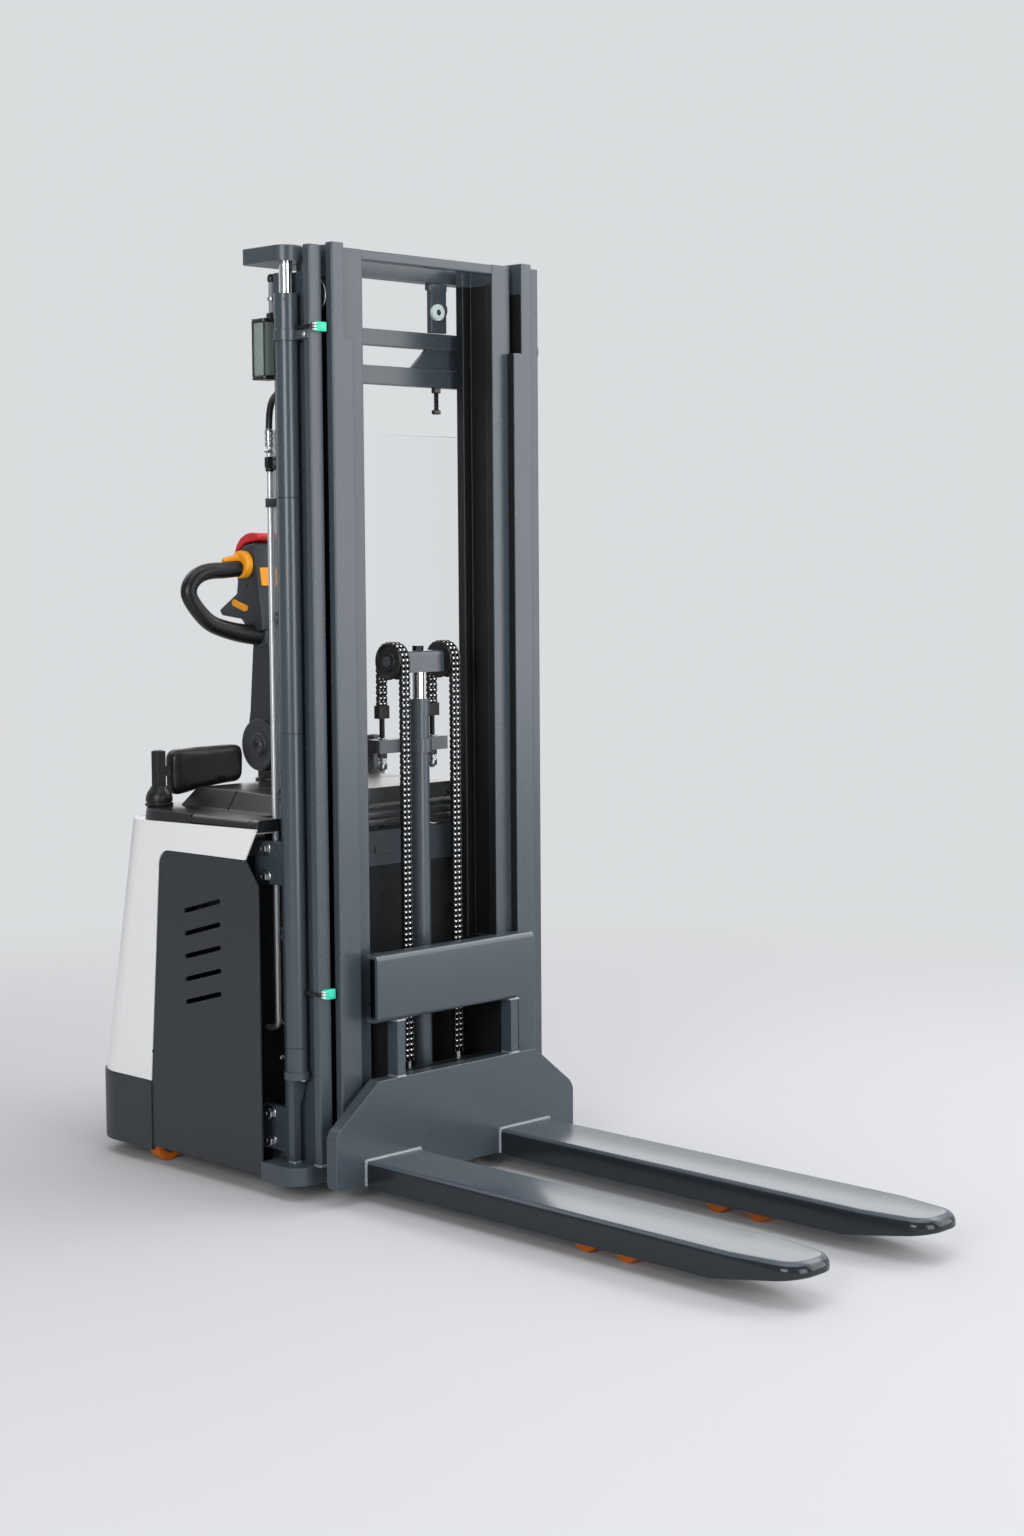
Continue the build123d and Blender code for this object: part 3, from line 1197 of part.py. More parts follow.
# Steering and drive
def make_steering_column():
    """Return the column, the pedestal on the deck and the tiller lug with its pin."""
    column = rod_z(STEER_X, 0, 560, DECK_TOP + 20, 22)
    column += rod_z(STEER_X, 0, DECK_TOP + 0.5, 870, PEDESTAL_R)
    column += block(STEER_X - 34, STEER_X + 34, -LUG_HALF, LUG_HALF, 869, PITCH_Z)
    column += rod_y(PITCH_X, -LUG_HALF, LUG_HALF, PITCH_Z, 38)
    return column + rod_y(PITCH_X, -HUB_HALF - 3, HUB_HALF + 3, PITCH_Z, PIN_R)


save("steering_column", make_steering_column())


def make_drive_unit():
    """Return the motor, turntable flange and gearbox as one steered unit."""
    unit = rod_z(STEER_X, 0, 345, 560, 75)
    unit += rod_z(STEER_X, 0, 318, 346, HUB_R - 2)
    unit += rod_z(STEER_X, 0, 296, DRIVE_PLATE_LOW - SLIDE_GAP, 108)
    unit += block(STEER_X - 48, STEER_X + 48, 44, 98, 78, 297)
    unit += rod_y(STEER_X, 44, 98, DRIVE_WHEEL_R, 48)
    return unit + rod_y(STEER_X, -DRIVE_WHEEL_WIDTH / 2, 45, DRIVE_WHEEL_R, 20)


save("drive_unit", make_drive_unit())

half_wheel = DRIVE_WHEEL_WIDTH / 2
drive_wheel = rod_y(STEER_X, -half_wheel, half_wheel, DRIVE_WHEEL_R, DRIVE_WHEEL_R)
drive_wheel = chamfer(drive_wheel.edges().filter_by(GeomType.CIRCLE), 5)
drive_wheel -= rod_y(STEER_X, -half_wheel - 1, half_wheel + 1, DRIVE_WHEEL_R, 20 + RUN_GAP)
save("drive_wheel", drive_wheel)

NECK_BACK = -664.0
NECK_FRONT = -616.0
NECK_TOP = 1214.0
ARM_HALF = 32.0


def make_tiller_arm():
    """Return the tiller arm with its forked hub."""
    hub = rod_y(PITCH_X, -HUB_HALF, HUB_HALF, PITCH_Z, HUB_R)
    outline = [
        (PITCH_X - HUB_R, PITCH_Z),
        (PITCH_X + HUB_R, PITCH_Z),
        (PITCH_X + 46, PITCH_Z + 80),
        (NECK_FRONT + 10, NECK_TOP - 50),
        (NECK_FRONT, NECK_TOP),
        (NECK_BACK, NECK_TOP),
        (NECK_BACK - 6, NECK_TOP - 50),
        (PITCH_X - 46, PITCH_Z + 80),
    ]
    arm = hub + plate_xz(outline, -ARM_HALF, ARM_HALF)
    slot = block(PITCH_X - 90, PITCH_X + 90, -LUG_HALF - 1, LUG_HALF + 1, PITCH_Z - 80, PITCH_Z + 45)
    arm -= slot
    return arm - rod_y(PITCH_X, -HUB_HALF - 1, HUB_HALF + 1, PITCH_Z, PIN_R + RUN_GAP)


save("tiller_arm", make_tiller_arm())

# Head outline in the side view, from the front top round to the rear top
HEAD_FRONT_TOP = (-634.0, 1426.0)
HEAD_FRONT_LOW = (-609.0, 1256.0)
HEAD_REAR_TOP = (-714.0, 1402.0)
LOOP_ROUTE = (
    (-30, 1322),
    (-82, 1332),
    (-112, 1361),
    (-212, 1331),
    (-150, 1254),
    (-90, 1226),
    (-30, 1230),
)
SIDE_BUTTON = (-688.0, 1282.5)
SIDE_BUTTON_TILT = -17.0
FRONT_BUTTON = (1329.0, 1372.0)


def face_frame(start, end):
    """Return the length and the unit direction from one side-view point to another."""
    run = end[0] - start[0]
    rise = end[1] - start[1]
    length = math.hypot(run, rise)
    return length, run / length, rise / length


def side_slot(length, width, y0, y1):
    """Return a slot-shaped piece on the head's right side face."""
    piece = extrude(Rot(0, 0, SIDE_BUTTON_TILT) * SlotOverall(length, width), abs(y1 - y0))
    return Pos(SIDE_BUTTON[0], max(y0, y1), SIDE_BUTTON[1]) * Rot(90, 0, 0) * piece


def front_strip(depth_in, depth_out, half, margin):
    """Return a strip across the head's front face, between two depths from that face."""
    length, run, rise = face_frame(HEAD_FRONT_TOP, HEAD_FRONT_LOW)
    points = []
    for z, depth in (
        (FRONT_BUTTON[0] - margin, depth_in),
        (FRONT_BUTTON[1] + margin, depth_in),
        (FRONT_BUTTON[1] + margin, depth_out),
        (FRONT_BUTTON[0] - margin, depth_out),
    ):
        x = HEAD_FRONT_TOP[0] + (z - HEAD_FRONT_TOP[1]) * run / rise
        points.append((x - rise * depth, z + run * depth))
    return plate_xz(points, -half, half)


def make_tiller_head():
    """Return the control head with both handle loops."""
    outline = [
        HEAD_FRONT_TOP,
        HEAD_FRONT_LOW,
        (-624, 1222),
        (NECK_FRONT - 2, NECK_TOP),
        (NECK_BACK, NECK_TOP),
        (-668, 1226),
        (-728, 1270),
        (-722, 1330),
        HEAD_REAR_TOP,
    ]
    head = plate_xz(outline, -HEAD_HALF, HEAD_HALF)
    head = soften(head, Axis.Y, 8, lambda c: c.X < -700 and c.Z < 1340)
    loop = tube_along([(LOOP_X, y, z) for y, z in LOOP_ROUTE], 22, LOOP_R)
    head += loop
    head += mirrored(loop)
    head -= rod_y(THROTTLE_X, -HEAD_HALF - 1, HEAD_HALF + 1, THROTTLE_Z, 8 + RUN_GAP)
    for side in (-1, 1):
        pocket = side_slot(58.4, 16.4, -HEAD_HALF - 5, -HEAD_HALF + 8)
        head -= pocket if side < 0 else mirrored(pocket)
    head -= front_strip(-9, 5, HEAD_HALF - 7.8, 0.2)
    return head - cap_stem(8.2, -24, 12)


def cap_stem(radius, low, high):
    """Return a round stem square to the top face of the head."""
    length, run, rise = face_frame(HEAD_FRONT_TOP, HEAD_REAR_TOP)
    x = (HEAD_FRONT_TOP[0] + HEAD_REAR_TOP[0]) / 2
    z = (HEAD_FRONT_TOP[1] + HEAD_REAR_TOP[1]) / 2
    normal = (rise, 0, -run)
    plane = Plane(origin=(x + normal[0] * low, 0, z + normal[2] * low), x_dir=(0, 1, 0), z_dir=normal)
    return extrude(plane * Circle(radius), high - low)


def make_reverse_button():
    """Return the red cap on the end of the head."""
    length, run, rise = face_frame(HEAD_FRONT_TOP, HEAD_REAR_TOP)
    gap = 5.0
    points = []
    for along, up in ((1, gap), (1, 15), (16, 25), (length - 16, 25), (length - 1, 15), (length - 1, gap)):
        x = HEAD_FRONT_TOP[0] + run * along + rise * up
        z = HEAD_FRONT_TOP[1] + rise * along - run * up
        points.append((x, z))
    cap = plate_xz(points, -HEAD_HALF, HEAD_HALF)
    return cap + cap_stem(8, -18, gap + 1)


save("tiller_head", make_tiller_head())
save("reverse_button", make_reverse_button())

right_side_button = side_slot(58, 16, -HEAD_HALF - 4, -HEAD_HALF + 4)
save("right_side_button", right_side_button)
save("left_side_button", mirrored(right_side_button))
save("front_button", front_strip(-5, 4, HEAD_HALF - 8, 0))


def make_throttle():
    """Return the butterfly throttle: an axle with a disc and a thumb lever on each side."""
    throttle = rod_y(THROTTLE_X, -HEAD_HALF - 2, HEAD_HALF + 2, THROTTLE_Z, 8)
    for side in (-1, 1):
        disc = rod_y(THROTTLE_X, side * (HEAD_HALF + 1), side * 72, THROTTLE_Z, THROTTLE_R)
        throttle += fillet(disc.edges().filter_by(GeomType.CIRCLE), 5)
        lever = rod_y(THROTTLE_X - 4, side * 66, side * 111, THROTTLE_Z + 16, 7)
        throttle += lever
        throttle += Pos(THROTTLE_X - 4, side * 111, THROTTLE_Z + 16) * Sphere(7)
    return throttle


save("throttle", make_throttle())

# Guard arms: a post in a boot, a bar and a soft pad
BAR_Z = (893.0, 915.0)
BAR_X = (-668.0, -648.0)


def pad_face(x, inset):
    """Return the outline of the right pad on a plane across x."""
    outline = [
        (-PAD_OUT + inset, 843 + inset),
        (-PAD_IN - inset, 866 + inset),
        (-PAD_IN - inset, 959 - inset),
        (-PAD_OUT + inset, 955 - inset),
    ]
    face = make_face(Polyline(*outline, close=True))
    return Plane.YZ.offset(x) * fillet(face.vertices(), 16)


def make_pad():
    """Return the right guard pad, a cushion with a crown on both faces."""
    depth = PAD_FRONT - PAD_BACK
    steps = ((0, 11), (0.2, 3), (0.5, 0), (0.8, 3), (1, 11))
    pad = loft([pad_face(PAD_BACK + depth * share, inset) for share, inset in steps])
    return pad - block(*BAR_X, -PAD_OUT - 5, -110, *BAR_Z)


def make_guard_arm():
    """Return the right guard arm with its boot."""
    half = POST_SIDE / 2
    post = block(POST_X - half, POST_X + half, -POST_Y - half, -POST_Y + half, DECK_TOP + 5, POST_TOP)
    post = soften(post, Axis.Z, 3, lambda c: True)
    post += block(*BAR_X, -POST_Y, -110, *BAR_Z)
    post += rod_z(POST_X, -POST_Y, COVER_TOP - 6, DECK_TOP + 10, PIN_R)
    boot = Pos(POST_X, -POST_Y, DECK_TOP + 0.5) * Cone(31, 19, 42, align=(Align.CENTER, Align.CENTER, Align.MIN))
    return post + fillet(boot.edges().sort_by(Axis.Z)[-1], 5)


right_arm = make_guard_arm()
right_pad = make_pad()
save("right_guard_arm", right_arm)
save("left_guard_arm", mirrored(right_arm))
save("right_guard_pad", right_pad)
save("left_guard_pad", mirrored(right_pad))


# Casters
def make_caster_fork():
    """Return the right caster fork with its stem and axle."""
    wheel_y = -CASTER_Y - CASTER_TRAIL
    gap = CASTER_WIDTH / 2 + 2
    fork = rod_z(CASTER_X, -CASTER_Y, 96, 190, 12)
    fork += rod_z(CASTER_X, -CASTER_Y, 84, CASTER_PLATE_LOW - SLIDE_GAP, 30)
    for side in (-1, 1):
        x0 = CASTER_X + side * gap
        x1 = CASTER_X + side * (gap + 5)
        cheek = plate_xz([(x0, 84), (x1, 84), (x1, 86), (x0, 86)], wheel_y - 10, -CASTER_Y + 20)
        outline = [(wheel_y - 12, 30), (wheel_y + 12, 30), (-CASTER_Y + 24, 86), (-CASTER_Y - 24, 86)]
        fork += plate_yz(outline, x0, x1) + cheek
    fork += block(CASTER_X - gap - 5, CASTER_X + gap + 5, -CASTER_Y - 24, -CASTER_Y + 24, 80, 90)
    return fork + rod_x(CASTER_X - gap - 1, CASTER_X + gap + 1, wheel_y, CASTER_R, 6)


def make_caster_wheel():
    """Return the right caster wheel."""
    wheel_y = -CASTER_Y - CASTER_TRAIL
    half = CASTER_WIDTH / 2
    wheel = rod_x(CASTER_X - half, CASTER_X + half, wheel_y, CASTER_R, CASTER_R)
    wheel = fillet(wheel.edges().filter_by(GeomType.CIRCLE), 6)
    return wheel - rod_x(CASTER_X - half - 1, CASTER_X + half + 1, wheel_y, CASTER_R, 6 + RUN_GAP)


caster_fork = make_caster_fork()
caster_wheel = make_caster_wheel()
save("right_caster_fork", caster_fork)
save("left_caster_fork", mirrored(caster_fork))
save("right_caster_wheel", caster_wheel)
save("left_caster_wheel", mirrored(caster_wheel))
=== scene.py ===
# %% [markdown]
# # A ride-on electric stacker
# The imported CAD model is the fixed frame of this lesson: every rail, cover and wheel is
# already in its place, in metres. Here each of them gets the finish of the real thing, and
# the soft, wound and small pieces that the CAD model only stands in for are built in full.

# %% Load the frame
import math

import bmesh
import bpy
from mathutils import Matrix, Vector


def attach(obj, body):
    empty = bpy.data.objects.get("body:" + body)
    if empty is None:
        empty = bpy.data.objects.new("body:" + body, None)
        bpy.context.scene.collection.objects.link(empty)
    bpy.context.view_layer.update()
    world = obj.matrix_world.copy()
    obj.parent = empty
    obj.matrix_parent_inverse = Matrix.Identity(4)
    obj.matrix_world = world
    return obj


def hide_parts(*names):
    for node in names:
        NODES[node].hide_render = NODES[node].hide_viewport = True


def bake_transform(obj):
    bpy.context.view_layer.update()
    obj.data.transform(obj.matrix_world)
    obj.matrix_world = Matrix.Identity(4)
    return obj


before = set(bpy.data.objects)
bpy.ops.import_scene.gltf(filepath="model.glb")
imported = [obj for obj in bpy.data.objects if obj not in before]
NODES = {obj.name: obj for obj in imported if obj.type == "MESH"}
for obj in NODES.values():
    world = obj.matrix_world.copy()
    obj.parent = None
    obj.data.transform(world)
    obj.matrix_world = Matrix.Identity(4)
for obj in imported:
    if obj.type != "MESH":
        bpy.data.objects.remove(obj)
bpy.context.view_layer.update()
SCENE = bpy.context.scene
SHIFT_X = -125.0
SIDES = ((-1, "right"), (1, "left"))


def at(x, y, z):
    """Turn a point of the drawing, in millimetres with x = 0 on the carriage face, to the frame."""
    return Vector(((x + SHIFT_X) / 1000, y / 1000, z / 1000))


def in_scene(name, data):
    """Return a new object of the scene that shows this data."""
    made = bpy.data.objects.new(name, data)
    SCENE.collection.objects.link(made)
    return made


# %% [markdown]
# The stacker was photographed from its right front corner with a longish lens, a little
# above the height of the tiller. The place, the angles and the lens come from matching known
# corners of the forks and the mast, so that the render can be laid over the photograph.

# %% Camera
CAMERA_AT = at(3848.65, -3705.26, 1381.36)
AZIMUTH = math.radians(44.784)
PITCH = math.radians(4.875)
ROLL = math.radians(-0.401)
FOCAL_PIXELS = 2414.04
LONG_SIDE = 1536
SENSOR_MM = 36.0

back = Vector((math.sin(AZIMUTH) * math.cos(PITCH), -math.cos(AZIMUTH) * math.cos(PITCH), math.sin(PITCH)))
level = Vector((math.cos(AZIMUTH), math.sin(AZIMUTH), 0))
upright = back.cross(level)
camera_right = math.cos(ROLL) * level + math.sin(ROLL) * upright
camera_up = math.cos(ROLL) * upright - math.sin(ROLL) * level

camera_data = bpy.data.cameras.new("studio_camera")
camera_data.sensor_width = SENSOR_MM
camera_data.lens = FOCAL_PIXELS / LONG_SIDE * SENSOR_MM
camera = in_scene("studio_camera", camera_data)
camera_turn = Matrix((camera_right, camera_up, back)).transposed().to_4x4()
camera.matrix_world = Matrix.Translation(CAMERA_AT) @ camera_turn
SCENE.camera = camera
print("lens", round(camera_data.lens, 2), "mm")

# %% [markdown]
# Oil reaches the right lift cylinder through a plated steel pipe and then a short rubber
# hose. The hose could be a mesh tube, but a NURBS curve with a round bevel keeps its line
# smooth from three control points: out of the ferrule, up, and into the port on the rail.

# %% Hose
HOSE_MM = 15.0
HOSE_ROUTE = [(-262, -308, 1675), (-262, -308, 1741), (-207, -328, 1745)]


def smooth_tube(name, route, diameter_mm, swell=None):
    """Return a round tube along a NURBS line of the drawing's route, thicker where swell says so."""
    curve = bpy.data.curves.new(name, "CURVE")
    curve.dimensions = "3D"
    # The radius is kept on the points, so that the tube's box is its own.
    curve.bevel_depth = 1.0
    curve.bevel_resolution = 6
    curve.resolution_u = 24
    curve.use_fill_caps = True
    spline = curve.splines.new("NURBS")
    spline.points.add(len(route) - 1)
    for point, place, share in zip(spline.points, route, swell or [1.0] * len(route)):
        point.co = (*at(*place), 1)
        point.radius = share * diameter_mm / 2000
    spline.order_u = 3
    spline.use_endpoint_u = True
    return in_scene(name, curve)


hose = smooth_tube("lift_hose", HOSE_ROUTE, HOSE_MM)
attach(hose, "chassis")

# %% [markdown]
# Colours are written as the hex values that a colour chart would give, and shaders work in
# linear light, so one function converts them. Another adds any node with its settings and
# links, which keeps each material readable as a list of what it is made of.

# %% Colour and nodes
def linear(colour):
    """Turn an sRGB hex colour into linear red, green, blue and alpha."""
    parts = []
    for i in (1, 3, 5):
        c = int(colour[i:i + 2], 16) / 255
        parts.append(c / 12.92 if c <= 0.04045 else ((c + 0.055) / 1.055) ** 2.4)
    return (*parts, 1.0)


def toned(colour, share):
    """Return a linear colour made lighter or darker by a share of itself."""
    return (*(min(1.0, c * (1 + share)) for c in linear(colour)[:3]), 1.0)


def add_node(tree, kind, settings=None, links=None):
    """Add a node, set properties or sockets by name or number, and link inputs to sockets or nodes."""
    node = tree.nodes.new(kind)
    for key, value in (settings or {}).items():
        if isinstance(key, str) and hasattr(node, key):
            setattr(node, key, value)
        else:
            node.inputs[key].default_value = value
    for key, source in (links or {}).items():
        socket = source.outputs[0] if isinstance(source, bpy.types.Node) else source
        tree.links.new(socket, node.inputs[key])
    return node


def new_tree(owner):
    """Return the empty node tree of a material or a world."""
    owner.use_nodes = True
    owner.node_tree.nodes.clear()
    return owner.node_tree


# %% [markdown]
# The studio is a pale cove: the floor runs up into a backdrop of the same tone, so no
# horizon shows. A real cove would be a curved sheet. Here the floor is a wide disc that
# keeps the object's shadow near it and fades into the tone of the world further out. The
# walls that only reflections see are pale behind the stacker and greyer at the camera's
# side, which keeps dark paint dark.

# %% Studio floor and world
BACKDROP = "#dadcde"
SIDE_WALLS = "#85878a"
DOME_TONE, DOME_LIGHT = "#fafafc", 0.38
BEHIND = (-0.71, 0.70, 0.0)
PALE_FROM, PALE_TO = -0.2, 0.6
FLOOR_TONE = "#cbccce"
FLOOR_RADIUS = 30.0
FADE_FROM, FADE_TO = 1.5, 4.5


def seen_directly(tree):
    """Return a node that gives 1 for rays from the camera, through clear sheets too."""
    rays = add_node(tree, "ShaderNodeLightPath").outputs
    either = {0: rays["Is Camera Ray"], 1: rays["Is Transmission Ray"]}
    return add_node(tree, "ShaderNodeMath", {"operation": "MAXIMUM"}, either)


world = bpy.data.worlds.new("studio")
SCENE.world = world
tree = new_tree(world)
mirrored_ray = add_node(tree, "ShaderNodeLightPath").outputs["Is Glossy Ray"]
dome = add_node(tree, "ShaderNodeBackground", {"Color": linear(DOME_TONE), "Strength": DOME_LIGHT})
heading = add_node(tree, "ShaderNodeTexCoord").outputs["Generated"]
behind = add_node(tree, "ShaderNodeVectorMath", {"operation": "DOT_PRODUCT", 1: BEHIND}, {0: heading})
paling = {"From Min": PALE_FROM, "From Max": PALE_TO}
towards = add_node(tree, "ShaderNodeMapRange", paling, {"Value": behind.outputs["Value"]})
tones = {"data_type": "RGBA", 6: linear(SIDE_WALLS), 7: linear(BACKDROP)}
around = add_node(tree, "ShaderNodeMix", tones, {0: towards})
sides = add_node(tree, "ShaderNodeBackground", {"Strength": 1.0}, {"Color": around.outputs[2]})
wall = add_node(tree, "ShaderNodeBackground", {"Color": linear(BACKDROP), "Strength": 1.0})
unseen = add_node(tree, "ShaderNodeMixShader", None, {0: mirrored_ray, 1: dome, 2: sides})
both = add_node(tree, "ShaderNodeMixShader", None, {0: seen_directly(tree), 1: unseen, 2: wall})
add_node(tree, "ShaderNodeOutputWorld", None, {"Surface": both})

floor_finish = bpy.data.materials.new("painted_studio_floor")
tree = new_tree(floor_finish)
place = add_node(tree, "ShaderNodeTexCoord").outputs["Object"]
reach = add_node(tree, "ShaderNodeVectorMath", {"operation": "LENGTH"}, {0: place})
fading = {"interpolation_type": "SMOOTHSTEP", "From Min": FADE_FROM, "From Max": FADE_TO}
fade = add_node(tree, "ShaderNodeMapRange", fading, {"Value": reach.outputs["Value"]})
fade = add_node(tree, "ShaderNodeMath", {"operation": "MULTIPLY"}, {0: fade, 1: seen_directly(tree)})
paint = add_node(tree, "ShaderNodeBsdfDiffuse", {"Color": linear(FLOOR_TONE)})
glow = add_node(tree, "ShaderNodeEmission", {"Color": linear(BACKDROP), "Strength": 1.0})
both = add_node(tree, "ShaderNodeMixShader", None, {0: fade, 1: paint, 2: glow})
add_node(tree, "ShaderNodeOutputMaterial", None, {"Surface": both})

bm = bmesh.new()
bmesh.ops.create_circle(bm, cap_ends=True, radius=FLOOR_RADIUS, segments=96)
floor_mesh = bpy.data.meshes.new("studio_floor")
bm.to_mesh(floor_mesh)
bm.free()
floor_mesh.materials.append(floor_finish)
studio_floor = in_scene("studio_floor", floor_mesh)
SCENE.view_settings.view_transform = "Standard"
print("floor radius", FLOOR_RADIUS, "m")

# %% [markdown]
# Soft boxes light the stacker. The big one to the right of the camera is what the fronts of
# rails and plates mirror, the tall narrow one draws the streaks on tubes, the one behind
# brightens fork tops and decks, two high ones draw bright lines along folds and top edges,
# and the rest keep flanks and tops readable. With the dome they sum to a plain level: a
# surface renders about as light as its colour is written.

# %% Soft boxes
AIM_HEIGHT = 1.0
SOFT_BOXES = (
    ("right_box", 132, 5.2, 2.4, (3.6, 4.2), 145),
    ("streak_box", 84, 5.0, 1.3, (2.0, 3.2), 105),
    ("flank_box", 22, 5.5, 2.2, (2.2, 2.6), 125),
    ("rear_box", 222, 6.0, 2.8, (4.5, 2.0), 60),
    ("front_edge_box", 173, 4.2, 4.6, (3.5, 2.2), 100),
    ("side_edge_box", 277, 4.2, 4.6, (3.5, 1.5), 40),
    ("top_box", 60, 0.8, 5.0, (4.0, 4.0), 72),
)
for name, azimuth, distance, height, size, watts in SOFT_BOXES:
    lamp = bpy.data.lights.new(name, "AREA")
    lamp.shape = "RECTANGLE"
    lamp.size, lamp.size_y = size
    lamp.energy = watts
    angle = math.radians(azimuth)
    spot = Vector((math.sin(angle) * distance, -math.cos(angle) * distance, height))
    aim = Vector((0, 0, min(height, AIM_HEIGHT)))
    box = in_scene(name, lamp)
    box.location = spot
    box.rotation_mode = "QUATERNION"
    box.rotation_quaternion = (aim - spot).to_track_quat("-Z", "Y")
    box.visible_camera = False
    print(name, "at", [round(v, 2) for v in spot])

# %% [markdown]
# Most of the stacker is coated or moulded: powder coat on steel, gel coat on the rear cover,
# textured plastics. They share a build-up, so one function lays it down: a body colour with
# slow clouds in it, a fine grain in the relief, edges painted lighter, which is a painted
# highlight and stands also for coat worn thin on a knife edge, and zones: some carry another
# finish of the same casting, some carry painted shade and painted light. Clear plastics
# have a build-up of their own: a tint that lets most light through, and a polish with haze in it.

# %% Surface builder
MM = 0.001
FLAT_MM = 0.002
CLOUD_LOW, CLOUD_HIGH = 0.3, 0.7
POLISH_SPREAD = 0.12
BEVEL_RAYS = 6
EDGE_STARTS, EDGE_FULL, EDGE_LIGHTER = 0.995, 0.80, 2.5


def zone_mask(tree, place, zone):
    """Return a node that gives 1 inside a zone of the drawing, a box or a round about an axis."""
    if "round" in zone:
        x, y, z, radius, flat = zone["round"]
        offset = add_node(tree, "ShaderNodeVectorMath", {"operation": "SUBTRACT", 1: at(x, y, z)}, {0: place})
        offset = add_node(tree, "ShaderNodeVectorMath", {"operation": "MULTIPLY", 1: flat}, {0: offset})
        reach = add_node(tree, "ShaderNodeVectorMath", {"operation": "LENGTH"}, {0: offset}).outputs["Value"]
        return add_node(tree, "ShaderNodeMath", {"operation": "LESS_THAN", 1: radius * MM}, {0: reach})
    x0, x1, y0, y1, z0, z1 = zone["box"]
    low, high = at(x0, y0, z0), at(x1, y1, z1)
    middle, half = (low + high) / 2, (high - low) / 2
    offset = add_node(tree, "ShaderNodeVectorMath", {"operation": "SUBTRACT", 1: middle}, {0: place})
    offset = add_node(tree, "ShaderNodeVectorMath", {"operation": "ABSOLUTE"}, {0: offset})
    offset = add_node(tree, "ShaderNodeVectorMath", {"operation": "SUBTRACT", 1: half}, {0: offset})
    axes = add_node(tree, "ShaderNodeSeparateXYZ", None, {0: offset}).outputs
    worst = add_node(tree, "ShaderNodeMath", {"operation": "MAXIMUM"}, {0: axes[0], 1: axes[1]})
    worst = add_node(tree, "ShaderNodeMath", {"operation": "MAXIMUM"}, {0: worst, 1: axes[2]})
    return add_node(tree, "ShaderNodeMath", {"operation": "LESS_THAN", 1: 0.0}, {0: worst})


def surface(name, colour, roughness, grain_mm, relief_mm, cloud=0.07, cloud_mm=160, edge=0.35, round_mm=1.6,
            metallic=0.0, zones=(), **shader):
    """Return a material: clouded colour, grain in relief, a painted highlight on edges, and zones of other
    finishes and of painted shade and light.
    """
    material = bpy.data.materials.new(name)
    tree = new_tree(material)
    place = add_node(tree, "ShaderNodeTexCoord").outputs["Object"]
    slow = {"Scale": 1000 / cloud_mm, "Detail": 4.0, "Roughness": 0.6}
    clouds = add_node(tree, "ShaderNodeTexNoise", slow, {"Vector": place})
    fine = {"Scale": 1000 / grain_mm, "Detail": 2.0, "Roughness": 0.5}
    grain = add_node(tree, "ShaderNodeTexNoise", fine, {"Vector": place})
    tones = {"data_type": "RGBA", 6: toned(colour, -cloud), 7: toned(colour, cloud)}
    body = add_node(tree, "ShaderNodeMix", tones, {0: clouds}).outputs[2]
    wander = {
        "From Min": CLOUD_LOW,
        "From Max": CLOUD_HIGH,
        "To Min": roughness * (1 - POLISH_SPREAD),
        "To Max": min(1.0, roughness * (1 + POLISH_SPREAD)),
    }
    polish = add_node(tree, "ShaderNodeMapRange", wander, {"Value": clouds})
    metal = None
    for zone in zones:
        mask = zone_mask(tree, place, zone)
        tone = {"data_type": "RGBA", 7: linear(zone["colour"])}
        body = add_node(tree, "ShaderNodeMix", tone, {0: mask, 6: body}).outputs[2]
        polish = add_node(tree, "ShaderNodeMix", {3: zone["roughness"]}, {0: mask, 2: polish})
        shares = {2: metallic, 3: zone.get("metallic", 0.0)}
        metal = add_node(tree, "ShaderNodeMix", shares, {0: mask, 2: metal} if metal else {0: mask})
    relief_links = {"Height": grain}
    if round_mm:
        rounded = add_node(tree, "ShaderNodeBevel", {"samples": BEVEL_RAYS, "Radius": round_mm * MM})
        normals = {0: rounded, 1: add_node(tree, "ShaderNodeNewGeometry").outputs["Normal"]}
        facing = add_node(tree, "ShaderNodeVectorMath", {"operation": "DOT_PRODUCT"}, normals)
        # Edges are painted lighter: a painted highlight where a rounded edge would catch the lamps.
        edge_highlight_range = {"From Min": EDGE_STARTS, "From Max": EDGE_FULL, "To Max": edge}
        painted_edge_highlight = add_node(tree, "ShaderNodeMapRange", edge_highlight_range, {"Value": facing.outputs["Value"]})
        light = {"data_type": "RGBA", "blend_type": "SCREEN", 7: toned(colour, EDGE_LIGHTER)}
        body = add_node(tree, "ShaderNodeMix", light, {0: painted_edge_highlight, 6: body}).outputs[2]
        relief_links["Normal"] = rounded
    relief = add_node(tree, "ShaderNodeBump", {"Strength": 1.0, "Distance": relief_mm * MM}, relief_links)
    links = {"Base Color": body, "Roughness": polish, "Normal": relief}
    if metal:
        links["Metallic"] = metal
    bsdf = add_node(tree, "ShaderNodeBsdfPrincipled", {"Metallic": metallic, **shader}, links)
    add_node(tree, "ShaderNodeOutputMaterial", None, {"Surface": bsdf})
    return material


def flat_finish(name, colour, roughness, grain_mm, **more):
    """Return a finish with hardly any relief, for shapes whose edges are round already."""
    return surface(name, colour, roughness, grain_mm, FLAT_MM, round_mm=0, **more)


def clear_plastic(name, colour, alpha, ior, haze_mm, polished, dull):
    """Return a see-through material whose roughness wanders between two values."""
    material = bpy.data.materials.new(name)
    tree = new_tree(material)
    place = add_node(tree, "ShaderNodeTexCoord").outputs["Object"]
    haze = add_node(tree, "ShaderNodeTexNoise", {"Scale": 1000 / haze_mm, "Detail": 3.0}, {"Vector": place})
    polish = add_node(tree, "ShaderNodeMapRange", {"To Min": polished, "To Max": dull}, {"Value": haze})
    tint = {"Base Color": linear(colour), "Alpha": alpha, "IOR": ior}
    bsdf = add_node(tree, "ShaderNodeBsdfPrincipled", tint, {"Roughness": polish})
    add_node(tree, "ShaderNodeOutputMaterial", None, {"Surface": bsdf})
    return material


